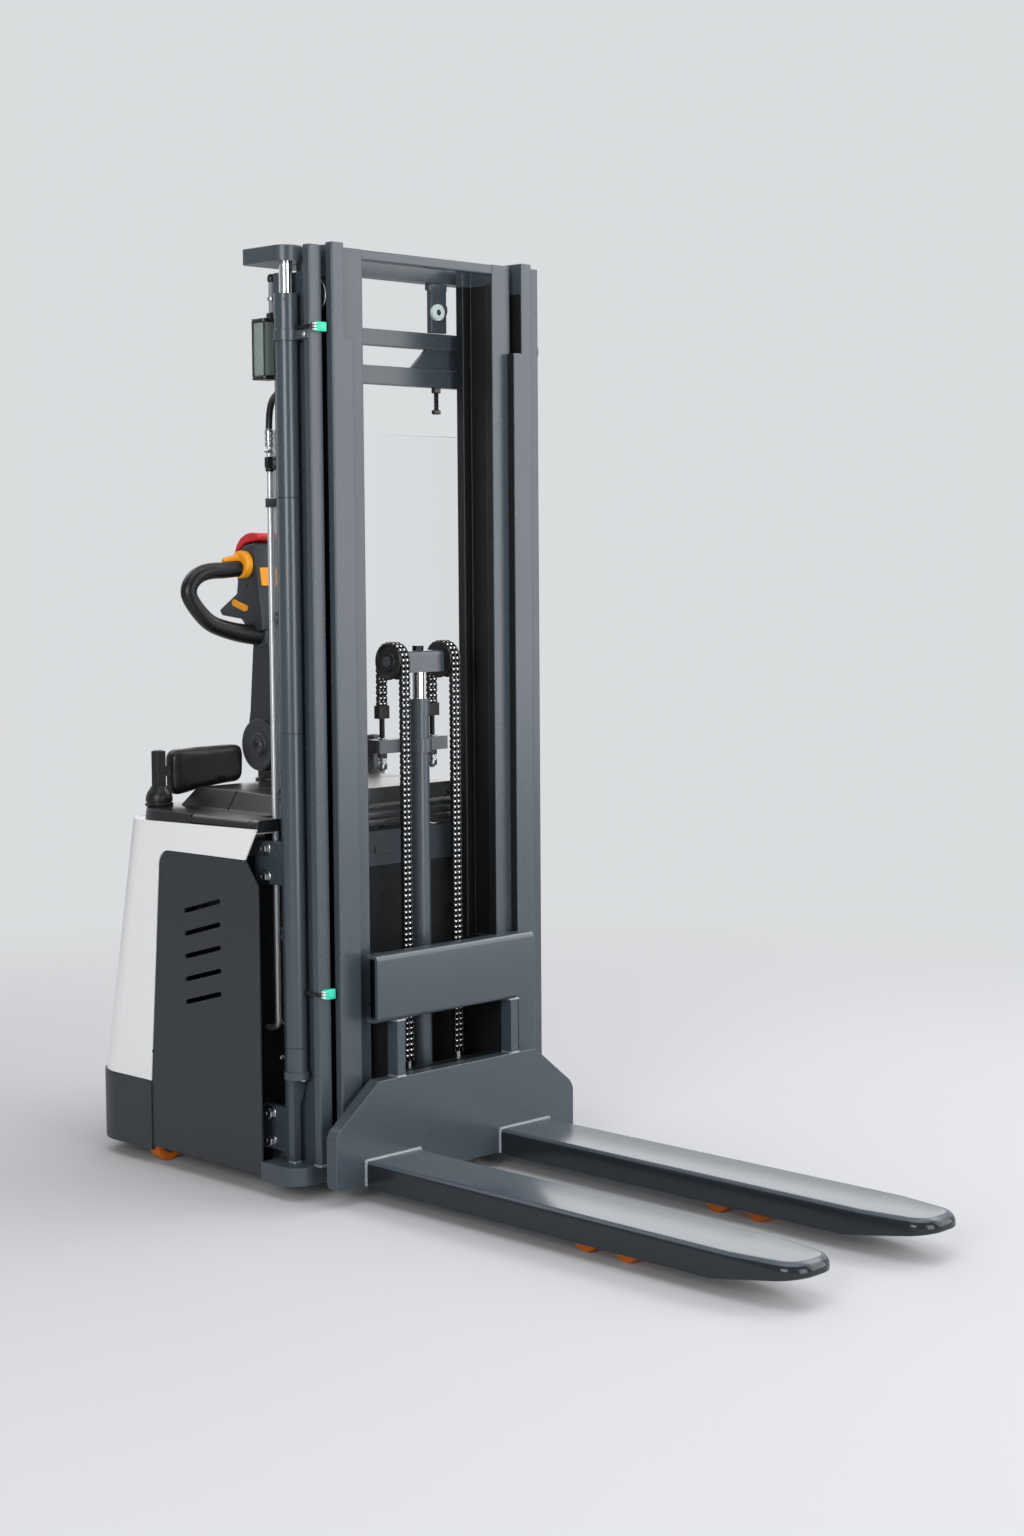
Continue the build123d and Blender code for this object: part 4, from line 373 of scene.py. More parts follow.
def dress(material, *names):
    """Give CAD nodes a finish in place of their plain one."""
    for name in names:
        slots = NODES[name].data.materials
        slots.clear()
        slots.append(material)
    print(material.name, "on", len(names), "nodes")


# %% [markdown]
# Mast, carriage and feet are steel in one charcoal powder coat. The forks' coat is drawn
# darker, which is painted shade on their sides, and their tops paler, which is painted light.
# Baked powder levels to a satin skin with a faint orange peel: the eye gets soft streaks
# instead of mirror images. Real peel is 1 to 2 mm across, too fine to show here, so it is
# drawn at 7 mm.

# %% Powder coats
CHARCOAL = "#404950"
ZINC_TONE = "#b9bcc0"
ZINC_ZONE = {"colour": ZINC_TONE, "roughness": 0.3, "metallic": 1.0}
PEEL = (7, FLAT_MM)
LOAD_AXLES, LOAD_AXLE_Z = (603.6, 714.2), 37
ABOUT_Y, ABOUT_X = (1, 0, 1), (0, 1, 1)


def charcoal(name, *nodes, roughness=0.27, **more):
    """Return the charcoal coat with some settings of its own, and give it to CAD nodes."""
    coat = surface(name, CHARCOAL, roughness, *PEEL, **more)
    dress(coat, *nodes)
    return coat


charcoal_powder_coat = charcoal(
    "charcoal_powder_coat",
    "outer_rails", "outer_crossmembers", "middle_crossmembers", "inner_crossmembers", "carriage_plate",
    edge=0.3, round_mm=3.5,
)
# Drawn tubes and folded plates are round already; their coat needs no rounding of its own.
smooth_powder_coat = charcoal("smooth_charcoal_powder_coat", "lift_cylinders", roughness=0.24, round_mm=0)
# The fork tops are painted paler than the sides: painted light, as the tops face the lamps above. The darker
# base is painted shade on the sides.
fork_coat_painted_shade_and_light = surface(
    "fork_coat_painted_shade_and_light", "#23282d", 0.15, 7, 0.0008, round_mm=0,
    zones=[{"box": (-100, 1200, -300, 300, 84, 100), "colour": "#4a525b", "roughness": 0.21}],
    **{"Specular IOR Level": 0.33},
)
# The channels that the rollers run in are painted black: painted shade inside the mast; only the fronts stay
# charcoal.
CHANNEL_PAINTED_SHADE = {"colour": "#0f1012", "roughness": 0.5}
INNER_PAINTED_SHADE = {"box": (-300, -80, -310, 310, 60, 2010), **CHANNEL_PAINTED_SHADE}
charcoal("rail_coat_painted_shade", "inner_rails", edge=0.3, round_mm=3.5, zones=[INNER_PAINTED_SHADE])
MIDDLE_PAINTED_SHADE = {"box": (-300, -58, -292, 310, 60, 1990), **CHANNEL_PAINTED_SHADE}
charcoal("middle_rail_coat_painted_shade", "middle_rails", edge=0.3, round_mm=3.5, zones=[MIDDLE_PAINTED_SHADE])
# The carriage uprights' sides inside the mast get the same painted shade.
charcoal("carriage_powder_coat", "carriage_frame", edge=0.3, zones=[
    {"box": (-300, -33, -200, 200, 60, 540), **CHANNEL_PAINTED_SHADE},
    {"box": (-100, -72, -100, 100, 188, 204.5), **ZINC_ZONE},
    {"box": (-100, -72, -100, 100, 238.5, 268), **ZINC_ZONE},
])
charcoal("ram_powder_coat", "free_lift_cylinder", round_mm=0, zones=[
    {"box": (-190, -150, -110, 110, 900, 987.5), "colour": "#141517", "roughness": 0.35},
    {"box": (-190, -150, -110, 110, 987.5, 1070), "colour": "#060607", "roughness": 0.6},
])
charcoal("foot_powder_coat", "base_frame", edge=0.3, zones=[
    {"round": (x, 0, LOAD_AXLE_Z, 8.5, ABOUT_Y), **ZINC_ZONE} for x in LOAD_AXLES
])
dress(surface("black_powder_coat", "#141517", 0.36, *PEEL, edge=0.3), "right_guard_arm", "left_guard_arm")
dress(surface("panel_powder_coat", "#2b2f33", 0.45, 6, 0.002, edge=0.5), "side_panels", "bumper_skirt")
matt_chassis_paint = surface(
    "matt_black_chassis_paint", "#0d0e0f", 0.8, *PEEL, edge=0.1,
    zones=[{"box": (-320, -270, -340, 340, 682, 770), "colour": CHARCOAL, "roughness": 0.4}],
    **{"Specular IOR Level": 0.2},
)
dress(matt_chassis_paint, "chassis_frame")

# %% [markdown]
# The moulded deck and the crosshead have edges rounded by a few millimetres. The frame's
# edges are square; a bevel modifier rounds them for the eye without touching the mesh.

# %% Rounded edges
EDGE_MM = {"top_deck": 3.0, "crosshead": 1.5}
EDGE_STEPS, EDGE_ANGLE = 4, math.radians(25)
for name, width in EDGE_MM.items():
    bevel = NODES[name].modifiers.new("rounded_edges", "BEVEL")
    bevel.width = width * MM
    bevel.segments = EDGE_STEPS
    bevel.limit_method = "ANGLE"
    bevel.angle_limit = EDGE_ANGLE
print("rounded", ", ".join(EDGE_MM))

# %% [markdown]
# The rear cover is a glossy white gel coat on glass-reinforced plastic, as boats have. It is
# cast against a polished mould, so it shows clean soft reflections and hardly any grain.
# Deck, lid and platform are black polypropylene from a spark-eroded mould: even, dull, a
# little lighter on edges, a painted highlight. Spark texture is 0.3 mm; it is drawn at 3 mm.

# %% Covers and decks
white_gel_coat = surface(
    "white_gel_coat", "#f0f1f1", 0.22, 40, 0.12, cloud=0.015, cloud_mm=300, edge=0.0, round_mm=2.5,
    **{"Coat Weight": 0.4, "Coat Roughness": 0.08},
)
dress(white_gel_coat, "rear_cover")
moulded_polypropylene = surface("moulded_polypropylene", "#1d1f21", 0.3, 3, 0.002, edge=0.25, round_mm=5.0)
dress(moulded_polypropylene, "top_deck", "battery_lid", "platform")

# %% [markdown]
# The tiller arm is glass-filled nylon, dark grey with a fine moulded texture. Switches are
# solid-coloured ABS, which keeps its orange or red right through and shines more than the
# arm. The pedestal under the tiller is painted black, and the ends of its pin are plated.

# %% Tiller plastics
dress(surface("textured_nylon", "#2a2d30", 0.44, 3, 0.005, edge=0.3, round_mm=3.0), "tiller_arm")
orange_abs = surface(
    "orange_abs", "#f3a01c", 0.32, 4, 0.04, cloud=0.03, edge=0.2, round_mm=2.5,
    **{"Subsurface Weight": 0.05, "Subsurface Radius": (0.004, 0.002, 0.001)},
)
dress(orange_abs, "right_side_button", "left_side_button", "front_button")
red_abs = surface("red_abs", "#c3232b", 0.34, 4, 0.04, cloud=0.03, edge=0.2, round_mm=3.0)
pin_ends = [{"box": (-660, -610, *y, 930, 970), **ZINC_ZONE} for y in ((-60, -46.2), (46.2, 60))]
pedestal_paint = surface("pedestal_black_paint", "#141516", 0.4, 4, 0.05, round_mm=2.5, zones=pin_ends)
dress(pedestal_paint, "steering_column")

# %% [markdown]
# Bare metals: hard chrome on the ram and the lift rods is ground and polished, so it shows
# sharp dark and light bands. Zinc plate on bolts is brighter and cloudier. Rollers are turned
# and ground bearing steel under oil, and castings of the drive keep their sand-rough skin.

# %% Metals
CHROME_TONE = "#dfe2e5"
dress(flat_finish("hard_chrome", CHROME_TONE, 0.15, 30, cloud=0.02, metallic=1.0), "lift_rods")
charcoal("crosshead_paint_and_chrome", "crosshead", round_mm=0, zones=[
    {"box": (-145, -105, -30, 30, 0, 1136.9), "colour": CHROME_TONE, "roughness": 0.07, "metallic": 1.0},
    {"box": (-145, -105, -20, 20, 1185.2, 1210), "colour": "#2a2b2d", "roughness": 0.3, "metallic": 1.0},
])
zinc_plate = flat_finish("zinc_plate", ZINC_TONE, 0.28, 5, cloud=0.06, cloud_mm=20, metallic=1.0)
dress(
    flat_finish("ground_bearing_steel", "#9a9da1", 0.3, 5, cloud=0.1, cloud_mm=25, metallic=1.0),
    "outer_rollers", "middle_rollers", "inner_rollers", "upper_carriage_rollers", "lower_carriage_rollers",
    "right_caster_fork", "left_caster_fork",
)
blackened_steel = flat_finish("blackened_steel", "#131415", 0.3, 5)
dress(
    surface("sand_cast_aluminium", "#8b8f94", 0.55, 4, 0.25, cloud=0.12, cloud_mm=30, edge=0.3, metallic=0.9),
    "drive_unit", "hydraulic_unit",
)

# %% [markdown]
# Wheels are orange polyurethane cast on steel hubs. Polyurethane is waxy: light goes a
# little way in, so its edges glow and its highlights are soft. The hub is a round zone about
# each axle. Batteries and the controller are hidden by the covers and stay simple.

# %% Wheels and inside units
HUB_ZONE = {"colour": "#8d9094", "roughness": 0.35, "metallic": 1.0}
HUBS = [(x, 0, LOAD_AXLE_Z, 20, ABOUT_Y) for x in LOAD_AXLES]
HUBS += [(-625, y, 37.5, 19, ABOUT_X) for y in (-351, 351)]
HUBS += [(-640, 0, 115, 78, ABOUT_Y)]
cast_polyurethane = surface(
    "cast_polyurethane", "#c2620f", 0.4, 6, 0.06, cloud=0.06, cloud_mm=40, edge=0.15,
    zones=[{"round": hub, **HUB_ZONE} for hub in HUBS],
    **{"Subsurface Weight": 0.15, "Subsurface Radius": (0.006, 0.003, 0.001)},
)
dress(
    cast_polyurethane,
    "right_rear_load_wheel", "right_front_load_wheel", "left_rear_load_wheel", "left_front_load_wheel",
    "drive_wheel", "right_caster_wheel", "left_caster_wheel",
)
dress(surface("battery_polypropylene", "#2a2c31", 0.5, 4, 0.05), "battery_pack", "motor_controller")

# %% [markdown]
# The guard behind the mast is clear polycarbonate: mostly a faint veil, with edges that pipe
# light and look white. The hose is moulded rubber, black and half dull.

# %% Clear sheet and rubber
dress(clear_plastic("clear_polycarbonate", "#b8bec3", 0.025, 1.58, 220, 0.03, 0.09), "mast_guard")
# The sheet's edge is a near-white rim: a painted highlight of the light it gathers.
sheet_edge_highlight = flat_finish("sheet_edge_painted_highlight", "#f2f5f6", 0.25, 20, cloud=0.03)
moulded_rubber = flat_finish("moulded_rubber", "#101112", 0.38, 3)
hose.data.materials.append(moulded_rubber)

# %% [markdown]
# Small parts are turned, swept or folded, so a few mesh helpers do for all of them: one
# spins a profile about an axis (with six sides it makes a chamfered hexagon), one skins rings
# of points, one sweeps a ring along a line, and two make a block or an extruded outline with
# rounded edges. Each finished mesh becomes a piece that rides on a body of the frame.

# %% Mesh helpers
UP, OUT, FORWARD = (0, 0, 1), (0, 1, 0), (1, 0, 0)


def chamfered(radius, height, inset, rise):
    """Return the profile of a disc or bar with a chamfer at both ends."""
    edge = radius - inset
    return [(0, 0), (edge, 0), (radius, rise), (radius, height - rise), (edge, height), (0, height)]


def arc(x, y, radius, start, end, steps):
    """Return points of an arc about (x, y), from one number of quarter turns to another."""
    angles = [math.pi / 2 * (start + (end - start) * k / steps) for k in range(steps + 1)]
    return [(x + radius * math.cos(a), y + radius * math.sin(a)) for a in angles]


def circle(bm, middle, across, along, radius_mm, sides):
    """Add a circle of points about a middle, in the plane of two directions."""
    angles = [2 * math.pi * i / sides for i in range(sides)]
    ways = [across * math.cos(a) + along * math.sin(a) for a in angles]
    return [bm.verts.new(middle + way * radius_mm * MM) for way in ways]


def turned(bm, profile, foot, axis, sides=32):
    """Spin a profile of (radius, height) pairs, in millimetres, about an axis that starts at foot."""
    axis = Vector(axis).normalized()
    across = Vector((0, 0, 1)) if abs(axis.z) < 0.9 else Vector((1, 0, 0))
    across = (across - axis * across.dot(axis)).normalized()
    along = axis.cross(across)
    rings = []
    for radius, height in profile:
        middle = foot + axis * height * MM
        rings.append(circle(bm, middle, across, along, radius, sides) if radius else [bm.verts.new(middle)])
    faces = []
    for low, high in zip(rings, rings[1:]):
        for i in range(sides):
            j = (i + 1) % sides
            corners = [low[i % len(low)], low[j % len(low)], high[j % len(high)], high[i % len(high)]]
            corners = list(dict.fromkeys(corners))
            if len(corners) > 2:
                faces.append(bm.faces.new(corners))
    return faces


def turned_pair(bm, profile, spot, axis, sides):
    """Spin a profile at a place of the drawing on the left, and at its mirror image on the right."""
    for side in (-1, 1):
        foot = at(spot[0], side * spot[1], spot[2])
        turned(bm, profile, foot, (axis[0], side * axis[1], axis[2]), sides)


def ring(bm, spots):
    """Add mesh points at places of the drawing."""
    return [bm.verts.new(at(*spot)) for spot in spots]


def skin(bm, rings, closed_ends=True):
    """Join rings of points into a skin and return its faces."""
    faces = []
    for low, high in zip(rings, rings[1:]):
        for i in range(len(low)):
            j = (i + 1) % len(low)
            faces.append(bm.faces.new([low[i], low[j], high[j], high[i]]))
    if closed_ends:
        faces += [bm.faces.new(rings[0]), bm.faces.new(rings[-1])]
    return faces


def swept(bm, line, radii, sides=10):
    """Sweep a ring along a line of points, with a radius in millimetres at each point."""
    rings = []
    normal = None
    for i, point in enumerate(line):
        ahead = (line[min(i + 1, len(line) - 1)] - line[max(i - 1, 0)]).normalized()
        normal = ahead.orthogonal() if normal is None else normal - ahead * normal.dot(ahead)
        normal.normalize()
        rings.append(circle(bm, point, normal, ahead.cross(normal), radii[i], sides))
    skin(bm, rings)


def round_off(bm, edges, radius_mm, steps=3):
    """Round edges of a mesh."""
    size = {"offset": radius_mm * MM, "segments": steps, "profile": 0.5}
    bmesh.ops.bevel(bm, geom=list(edges), affect="EDGES", clamp_overlap=True, **size)


def block(bm, x0, x1, y0, y1, z0, z1, radius_mm):
    """Add a block between limits of the drawing, with rounded edges."""
    a, b = at(x0, y0, z0), at(x1, y1, z1)
    size = Matrix.Diagonal((*map(abs, b - a), 1))
    made = bmesh.ops.create_cube(bm, size=1, matrix=Matrix.Translation((a + b) / 2) @ size)
    round_off(bm, {e for v in made["verts"] for e in v.link_edges}, radius_mm)


def prism(bm, outline, half_width, radius_mm, steps=3):
    """Extrude an outline of the drawing's (x, z) points to both sides and round its edges."""
    faces = skin(bm, [ring(bm, [(x, y, z) for x, z in outline]) for y in (-half_width, half_width)])
    bmesh.ops.recalc_face_normals(bm, faces=faces)
    round_off(bm, {e for f in faces for e in f.edges}, radius_mm, steps)


def as_piece(name, bm, materials, body, crease=35):
    """Make a piece of a finished mesh, with one or more finishes, and let it ride on a body."""
    bmesh.ops.recalc_face_normals(bm, faces=bm.faces)
    mesh = bpy.data.meshes.new(name)
    bm.to_mesh(mesh)
    bm.free()
    mesh.shade_smooth()
    mesh.set_sharp_from_angle(angle=math.radians(crease))
    for material in materials if isinstance(materials, tuple) else (materials,):
        mesh.materials.append(material)
    piece = in_scene(name, mesh)
    if body:
        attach(piece, body)
    print(name, len(mesh.vertices), "points")
    return piece


# %% [markdown]
# The pipe below the hose is bright zinc-plated steel with a crimped ferrule at its end, a
# union nut, and a plastic clip that holds it off the rail. The pipe could be turned, but it
# bends at its foot, so it is a NURBS tube like the hose.

# %% Pipe and its fittings
PIPE, PIPE_MM = (-262, -308), 13
PIPE_ROUTE = [(-297, -308, 349), (*PIPE, 349), (*PIPE, 384), (*PIPE, 1000), (*PIPE, 1637)]
pipe = smooth_tube("lift_pipe", PIPE_ROUTE, PIPE_MM)
plated_pipe = flat_finish("satin_zinc_pipe", "#d3d7da", 0.4, 7, cloud=0.03, metallic=0.8)
pipe.data.materials.append(plated_pipe)
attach(pipe, "chassis")
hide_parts("hydraulic_line")

CRIMPED = [
    (0, 0), (8.2, 0), (10, 2.5), (10, 10), (9, 11), (9, 13), (10, 14), (10, 22), (9, 23), (9, 25), (10, 26),
    (10, 34), (8.4, 38.8), (0, 38.8),
]
NECK = [(0, 0), (8.6, 0), (9.2, 1), (9.2, 7), (7.6, 9), (0, 9)]
PORT = [(0, 0), (9.5, 0), (9.5, 3), (11.5, 4), (11.5, 11), (10.5, 12), (0, 12)]
CLIP = [(6.5, 0), (10, 0), (10.5, 0.6), (10.5, 19.4), (10, 20), (6.5, 20), (6.5, 0)]
bm = bmesh.new()
turned(bm, CRIMPED, at(*PIPE, 1636), UP)
turned(bm, chamfered(11, 7.6, 1.6, 1.6), at(*PIPE, 1622), UP, 6)
as_piece("pipe_ferrule", bm, zinc_plate, "chassis")

bm = bmesh.new()
turned(bm, chamfered(11, 24, 1.4, 1.5), at(*PIPE, 1590), UP, 6)
turned(bm, NECK, at(*PIPE, 1582), UP)
turned(bm, PORT, at(-195, -328, 1745), (-1, 0, 0), 24)
as_piece("pipe_unions", bm, blackened_steel, "chassis")

bm = bmesh.new()
turned(bm, CLIP, at(*PIPE, 1504), UP, 28)
block(bm, -254, -195, -324, -313, 1504, 1524, 2)
as_piece("pipe_clip", bm, moulded_polypropylene, "chassis")

# %% [markdown]
# The lift chains are double roller chains with 12.5 mm links: black plates, bright rollers.
# A strap with a pattern would show where it goes round the wheel, so every plate and roller
# is there. Links follow a line up the back, over the wheel and down the front. When the
# carriage rises, 60 links run over the wheel, which a fixed mesh can't do. So each strand is
# made of short sections: the rear ones lie in one another, and the front ones are laid ten
# links apart down the front. Here the sections are only laid in place; none slides. Each
# section is a little slimmer than the one around it, so that no two faces share a place.

# %% Lift chains
WHEEL = (-124, 1163)
PITCH_R = 38.0
FRONT_LOW = 266.0
LINKS, LINK_PITCH = 90, 12.5
WRAP_RUN = math.pi * PITCH_R
BACK_RUN = LINKS * LINK_PITCH - WRAP_RUN - (WHEEL[1] - FRONT_LOW)
BACK_LOW = WHEEL[1] - BACK_RUN
PLATE_R, WAIST, PLATE_WALL, PLATE_ARC = 5.9, 3.9, 1.6, 96 / 90
OUTER_PLATES, INNER_PLATES = (-11.6, 0, 11.6), (-9.9, -1.9, 1.9, 9.9)
ROLLER, ROLLER_FEET = chamfered(4.3, 6.2, 0.4, 0.5), (-9.1, 2.9)
PIN, PIN_FOOT = chamfered(2.6, 25, 0.4, 0.5), -12.5
CHAIN_Y = 77.0
# A link plate is a figure of eight: two round ends and a waist.
PLATE_END = [*arc(LINK_PITCH / 2, 0, PLATE_R, -PLATE_ARC, PLATE_ARC, 6), (0, WAIST)]
PLATE = [(end * u, end * v) for end in (1, -1) for u, v in PLATE_END]
FRONT_FROM = math.ceil((BACK_RUN + WRAP_RUN) / LINK_PITCH)
WRAP_FROM = math.floor(BACK_RUN / LINK_PITCH)
RISE_LINKS = 60
FRONT_STAYS = LINKS - FRONT_FROM - RISE_LINKS
REAR_SHIFTS = (0, 8, 16, 24, 32, 40, 48, 56, 60)
FRONT_SHIFTS = (0, 10, 20, 30, 40, 50, 60)
SLIM_STEP = 0.01
chain_plate_steel = flat_finish("blackened_chain_plate", "#101112", 0.3, 4, cloud=0.2, cloud_mm=12)
chain_roller_steel = flat_finish(
    "oiled_roller_steel", "#b9bdc1", 0.2, 4, cloud=0.1, cloud_mm=12, metallic=1.0,
)


def chain_point(run):
    """Return (x, z) on the chain's line at a run from its rear end, in millimetres."""
    if run < BACK_RUN:
        return Vector((WHEEL[0] - PITCH_R, BACK_LOW + run))
    if run < BACK_RUN + WRAP_RUN:
        angle = (run - BACK_RUN) / PITCH_R
        return Vector((WHEEL[0] - PITCH_R * math.cos(angle), WHEEL[1] + PITCH_R * math.sin(angle)))
    return Vector((WHEEL[0] + PITCH_R, WHEEL[1] - (run - BACK_RUN - WRAP_RUN)))


def slimmed(profile, slim):
    """Return a turned profile made smaller about its middle."""
    middle = profile[-1][1] / 2
    return [(radius * slim, middle + (height - middle) * slim) for radius, height in profile]


def add_link(bm, number, y_middle, slim):
    """Add one link's plates, and the pin and rollers at its start."""
    start, end = chain_point(number * LINK_PITCH), chain_point((number + 1) * LINK_PITCH)
    middle = (start + end) / 2
    along = (end - start).normalized()
    across = Vector((-along.y, along.x))
    spots = [middle + (along * u + across * v) * slim for u, v in PLATE]
    half_wall = PLATE_WALL * slim / 2
    for offset in OUTER_PLATES if number % 2 else INNER_PLATES:
        faces_y = (y_middle + offset - half_wall, y_middle + offset + half_wall)
        skin(bm, [ring(bm, [(p.x, y, p.y) for p in spots]) for y in faces_y])
    turned(bm, slimmed(PIN, slim), at(start.x, y_middle + PIN_FOOT, start.y), OUT, 8)
    for foot in ROLLER_FEET:
        for face in turned(bm, slimmed(ROLLER, slim), at(start.x, y_middle + foot, start.y), OUT, 14):
            face.material_index = 1


def chain_section(name, y_middle, numbers, slim, body=None):
    """Make the piece with these links."""
    bm = bmesh.new()
    for number in numbers:
        add_link(bm, number, y_middle, slim)
    piece = as_piece(name, bm, (chain_plate_steel, chain_roller_steel), body)
    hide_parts("lift_chains")
    return piece


def slide_between(piece):
    """Bake a section's place into its mesh; it rides on no body and does not slide."""
    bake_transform(piece)


for side, name in SIDES:
    y_middle = side * CHAIN_Y
    for k, shift in enumerate(REAR_SHIFTS):
        piece = chain_section(f"{name}_chain_rear_{k + 1}", y_middle, range(WRAP_FROM), 1 - SLIM_STEP * k)
        slide_between(piece)
    chain_section(f"{name}_chain_wrap", y_middle, range(WRAP_FROM, FRONT_FROM), 1.0, "crosshead")
    for k, shift in enumerate(FRONT_SHIFTS):
        numbers = range(FRONT_FROM + shift + (k > 0), FRONT_FROM + shift + FRONT_STAYS)
        piece = chain_section(f"{name}_chain_front_{k + 1}", y_middle, numbers, 1 - SLIM_STEP * k)
        slide_between(piece)

# %% [markdown]
# Chain wheels are turned from bar: a drum that the rollers run on between two low flanges,
# and a face with a rim, a dished web and a bearing cap. One profile spun about the axle
# gives the rings that catch the light.

# %% Chain wheels
WHEEL_PROFILE = [
    (0, -16), (40.5, -16), (41.5, -15), (41.5, -13.4), (40.5, -13), (31.8, -12.8), (31.8, 12.8), (40.5, 13),
    (41.5, 13.4), (41.5, 15), (40, 16.4), (35, 16.4), (33, 14), (23, 13.6), (21, 16.8), (15, 16.8),
    (14, 15), (10.6, 15), (9.6, 16.4), (0, 16.4),
]
bm = bmesh.new()
turned_pair(bm, WHEEL_PROFILE, (WHEEL[0], CHAIN_Y, WHEEL[1]), OUT, 56)
wheel_pair = as_piece("turned_chain_wheels", bm, blackened_steel, "chain_wheels")
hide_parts("chain_wheels")

# %% [markdown]
# Each chain ends in a threaded rod that hangs from the bracket on a nut. The lock nut below
# and the washer above are zinc plated.

# %% Chain anchor nuts
ANCHOR_X = WHEEL[0] - PITCH_R
ANCHOR_END = [
    (0, 0), (4.8, 0), (5.8, 1.2), (5.8, 5), (9, 5.6), (10, 7.4), (10, 19), (8.8, 21), (7.4, 21.4), (7.4, 25),
    (9.8, 26), (9.8, 29), (0, 29),
]
bm = bmesh.new()
turned_pair(bm, ANCHOR_END, (ANCHOR_X, CHAIN_Y, 915), UP, 20)
turned_pair(bm, chamfered(11, 3, 0.6, 0.6), (ANCHOR_X, CHAIN_Y, 987), UP, 24)
as_piece("chain_anchor_nuts", bm, zinc_plate, "inner_mast")

# %% [markdown]
# Side guards stop the driver's hips. Each pad is integral-skin polyurethane foam on a bar:
# dense, full and slightly crowned. A bevelled block would look hard, so the pad is blown up
# as cloth with a little pressure, its travel is capped, and one subdivision evens it out.

# %% Guard pads
PAD_BACK, PAD_FRONT = -680.0, -635.0
PAD_CORNERS = ((300, 843), (86, 866), (86, 959), (300, 955))
PAD_ROUND, PAD_MARGIN, PAD_RINGS = 17.0, 2.0, 8
PAD_VOXEL, PAD_SWELL = 5.0, 2.5
PRESSURE, CLOTH_FRAMES = 4.0, 20
pad_skin = flat_finish("integral_skin_foam", "#0c0d0e", 0.42, 4, cloud=0.08, cloud_mm=60)


def rounded_corners(corners, inset, radius, steps=6):
    """Return a closed outline with its corners rounded, moved inwards by an inset."""
    middle = Vector((sum(c[0] for c in corners) / 4, sum(c[1] for c in corners) / 4))
    moved = []
    for c in corners:
        offset = Vector(c) - middle
        moved.append(middle + Vector([part - math.copysign(inset, part) for part in offset]))
    outline = []
    for i, corner in enumerate(moved):
        before = (moved[i - 1] - corner).normalized()
        after = (moved[(i + 1) % len(moved)] - corner).normalized()
        for k in range(steps + 1):
            t = k / steps
            outline.append(corner + before * radius * (1 - t) ** 2 + after * radius * t ** 2)
    return outline


def pad_block(bm, side):
    """Add the pad's starting shape, a block with rounded edges."""
    depth = PAD_FRONT - PAD_BACK - 2 * PAD_MARGIN
    rings = []
    for k in range(PAD_RINGS + 1):
        angle = math.pi * k / PAD_RINGS
        share = (1 - math.cos(angle)) / 2
        inset = PAD_MARGIN + (PAD_ROUND - 4) * (1 - math.sin(angle)) ** 1.5
        x = PAD_BACK + PAD_MARGIN + depth * share
        outline = rounded_corners(PAD_CORNERS, inset, PAD_ROUND + 6)
        rings.append(ring(bm, [(x, side * p.x, p.y) for p in outline]))
    skin(bm, rings)


def settled(piece):
    """Replace a piece's mesh with what its modifiers make of it."""
    graph = bpy.context.evaluated_depsgraph_get()
    made = bpy.data.meshes.new_from_object(piece.evaluated_get(graph))
    piece.modifiers.clear()
    piece.data = made
    return made


def blown_up(piece, voxel_mm, cap_mm):
    """Remesh a piece, swell it as cloth under a little pressure, and cap how far a point moves."""
    remesh = piece.modifiers.new("even_faces", "REMESH")
    remesh.mode = "VOXEL"
    remesh.voxel_size = voxel_mm * MM
    start = settled(piece)
    rest = [v.co.copy() for v in start.vertices]
    cloth = piece.modifiers.new("skin", "CLOTH")
    cloth.settings.use_pressure = True
    cloth.settings.uniform_pressure_force = PRESSURE
    cloth.settings.effector_weights.gravity = 0.0
    for number in range(1, CLOTH_FRAMES + 1):
        SCENE.frame_set(number)
    start = settled(piece)
    SCENE.frame_set(1)
    far = 0.0
    for vertex, home in zip(start.vertices, rest):
        step = vertex.co - home
        far = max(far, step.length)
        if step.length > cap_mm * MM:
            vertex.co = home + step.normalized() * cap_mm * MM
    smooth = piece.modifiers.new("even_skin", "SUBSURF")
    smooth.levels = smooth.render_levels = 1
    settled(piece).shade_smooth()
    print(piece.name, "moved up to", round(far / MM, 1), "mm")


for side, name in SIDES:
    bm = bmesh.new()
    pad_block(bm, side)
    pad = as_piece(f"{name}_foam_pad", bm, pad_skin, None)
    blown_up(pad, PAD_VOXEL, PAD_SWELL)
    if not pad.data.materials:
        pad.data.materials.append(pad_skin)
    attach(pad, f"{name}_guard")
    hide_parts(f"{name}_guard_pad")

# %% [markdown]
# Each guard post stands in a rubber boot: a flange on the deck, a groove, and a bell that
# closes on the square tube. It is turned from one profile and lies over the frame's cone.
# The tube's open top is closed by a plastic plug.

# %% Boots and plugs
BOOT = [
    (0, 0), (32, 0), (32.6, 1), (32.6, 6), (31.6, 7), (29.4, 7.6), (29, 9.4), (30.8, 10.6), (31.4, 15),
    (30.4, 23), (27.6, 31), (23.6, 37), (20.6, 41), (19.6, 44.5), (18.4, 45.5), (0, 45.5),
]
POST_X, POST_Y = -648, 334
for side, name in SIDES:
    y = side * POST_Y
    bm = bmesh.new()
    turned(bm, BOOT, at(POST_X, y, 825.6), UP, 48)
    as_piece(f"{name}_post_boot", bm, moulded_rubber, f"{name}_guard")
    bm = bmesh.new()
    for half, low, high, edge in ((10.5, 950, 953.2, 1.4), (7, 952, 954.4, 1.0)):
        block(bm, POST_X - half, POST_X + half, y - half, y + half, low, high, edge)
    as_piece(f"{name}_post_plug", bm, moulded_polypropylene, f"{name}_guard")

# %% [markdown]
# The tiller head is a moulded nylon shell: flat sides, a sloping front, and a spur under the
# thumbs. The frame has its flats. Here its outline is extruded with rounded edges, and a
# narrower collar takes it down to the arm.

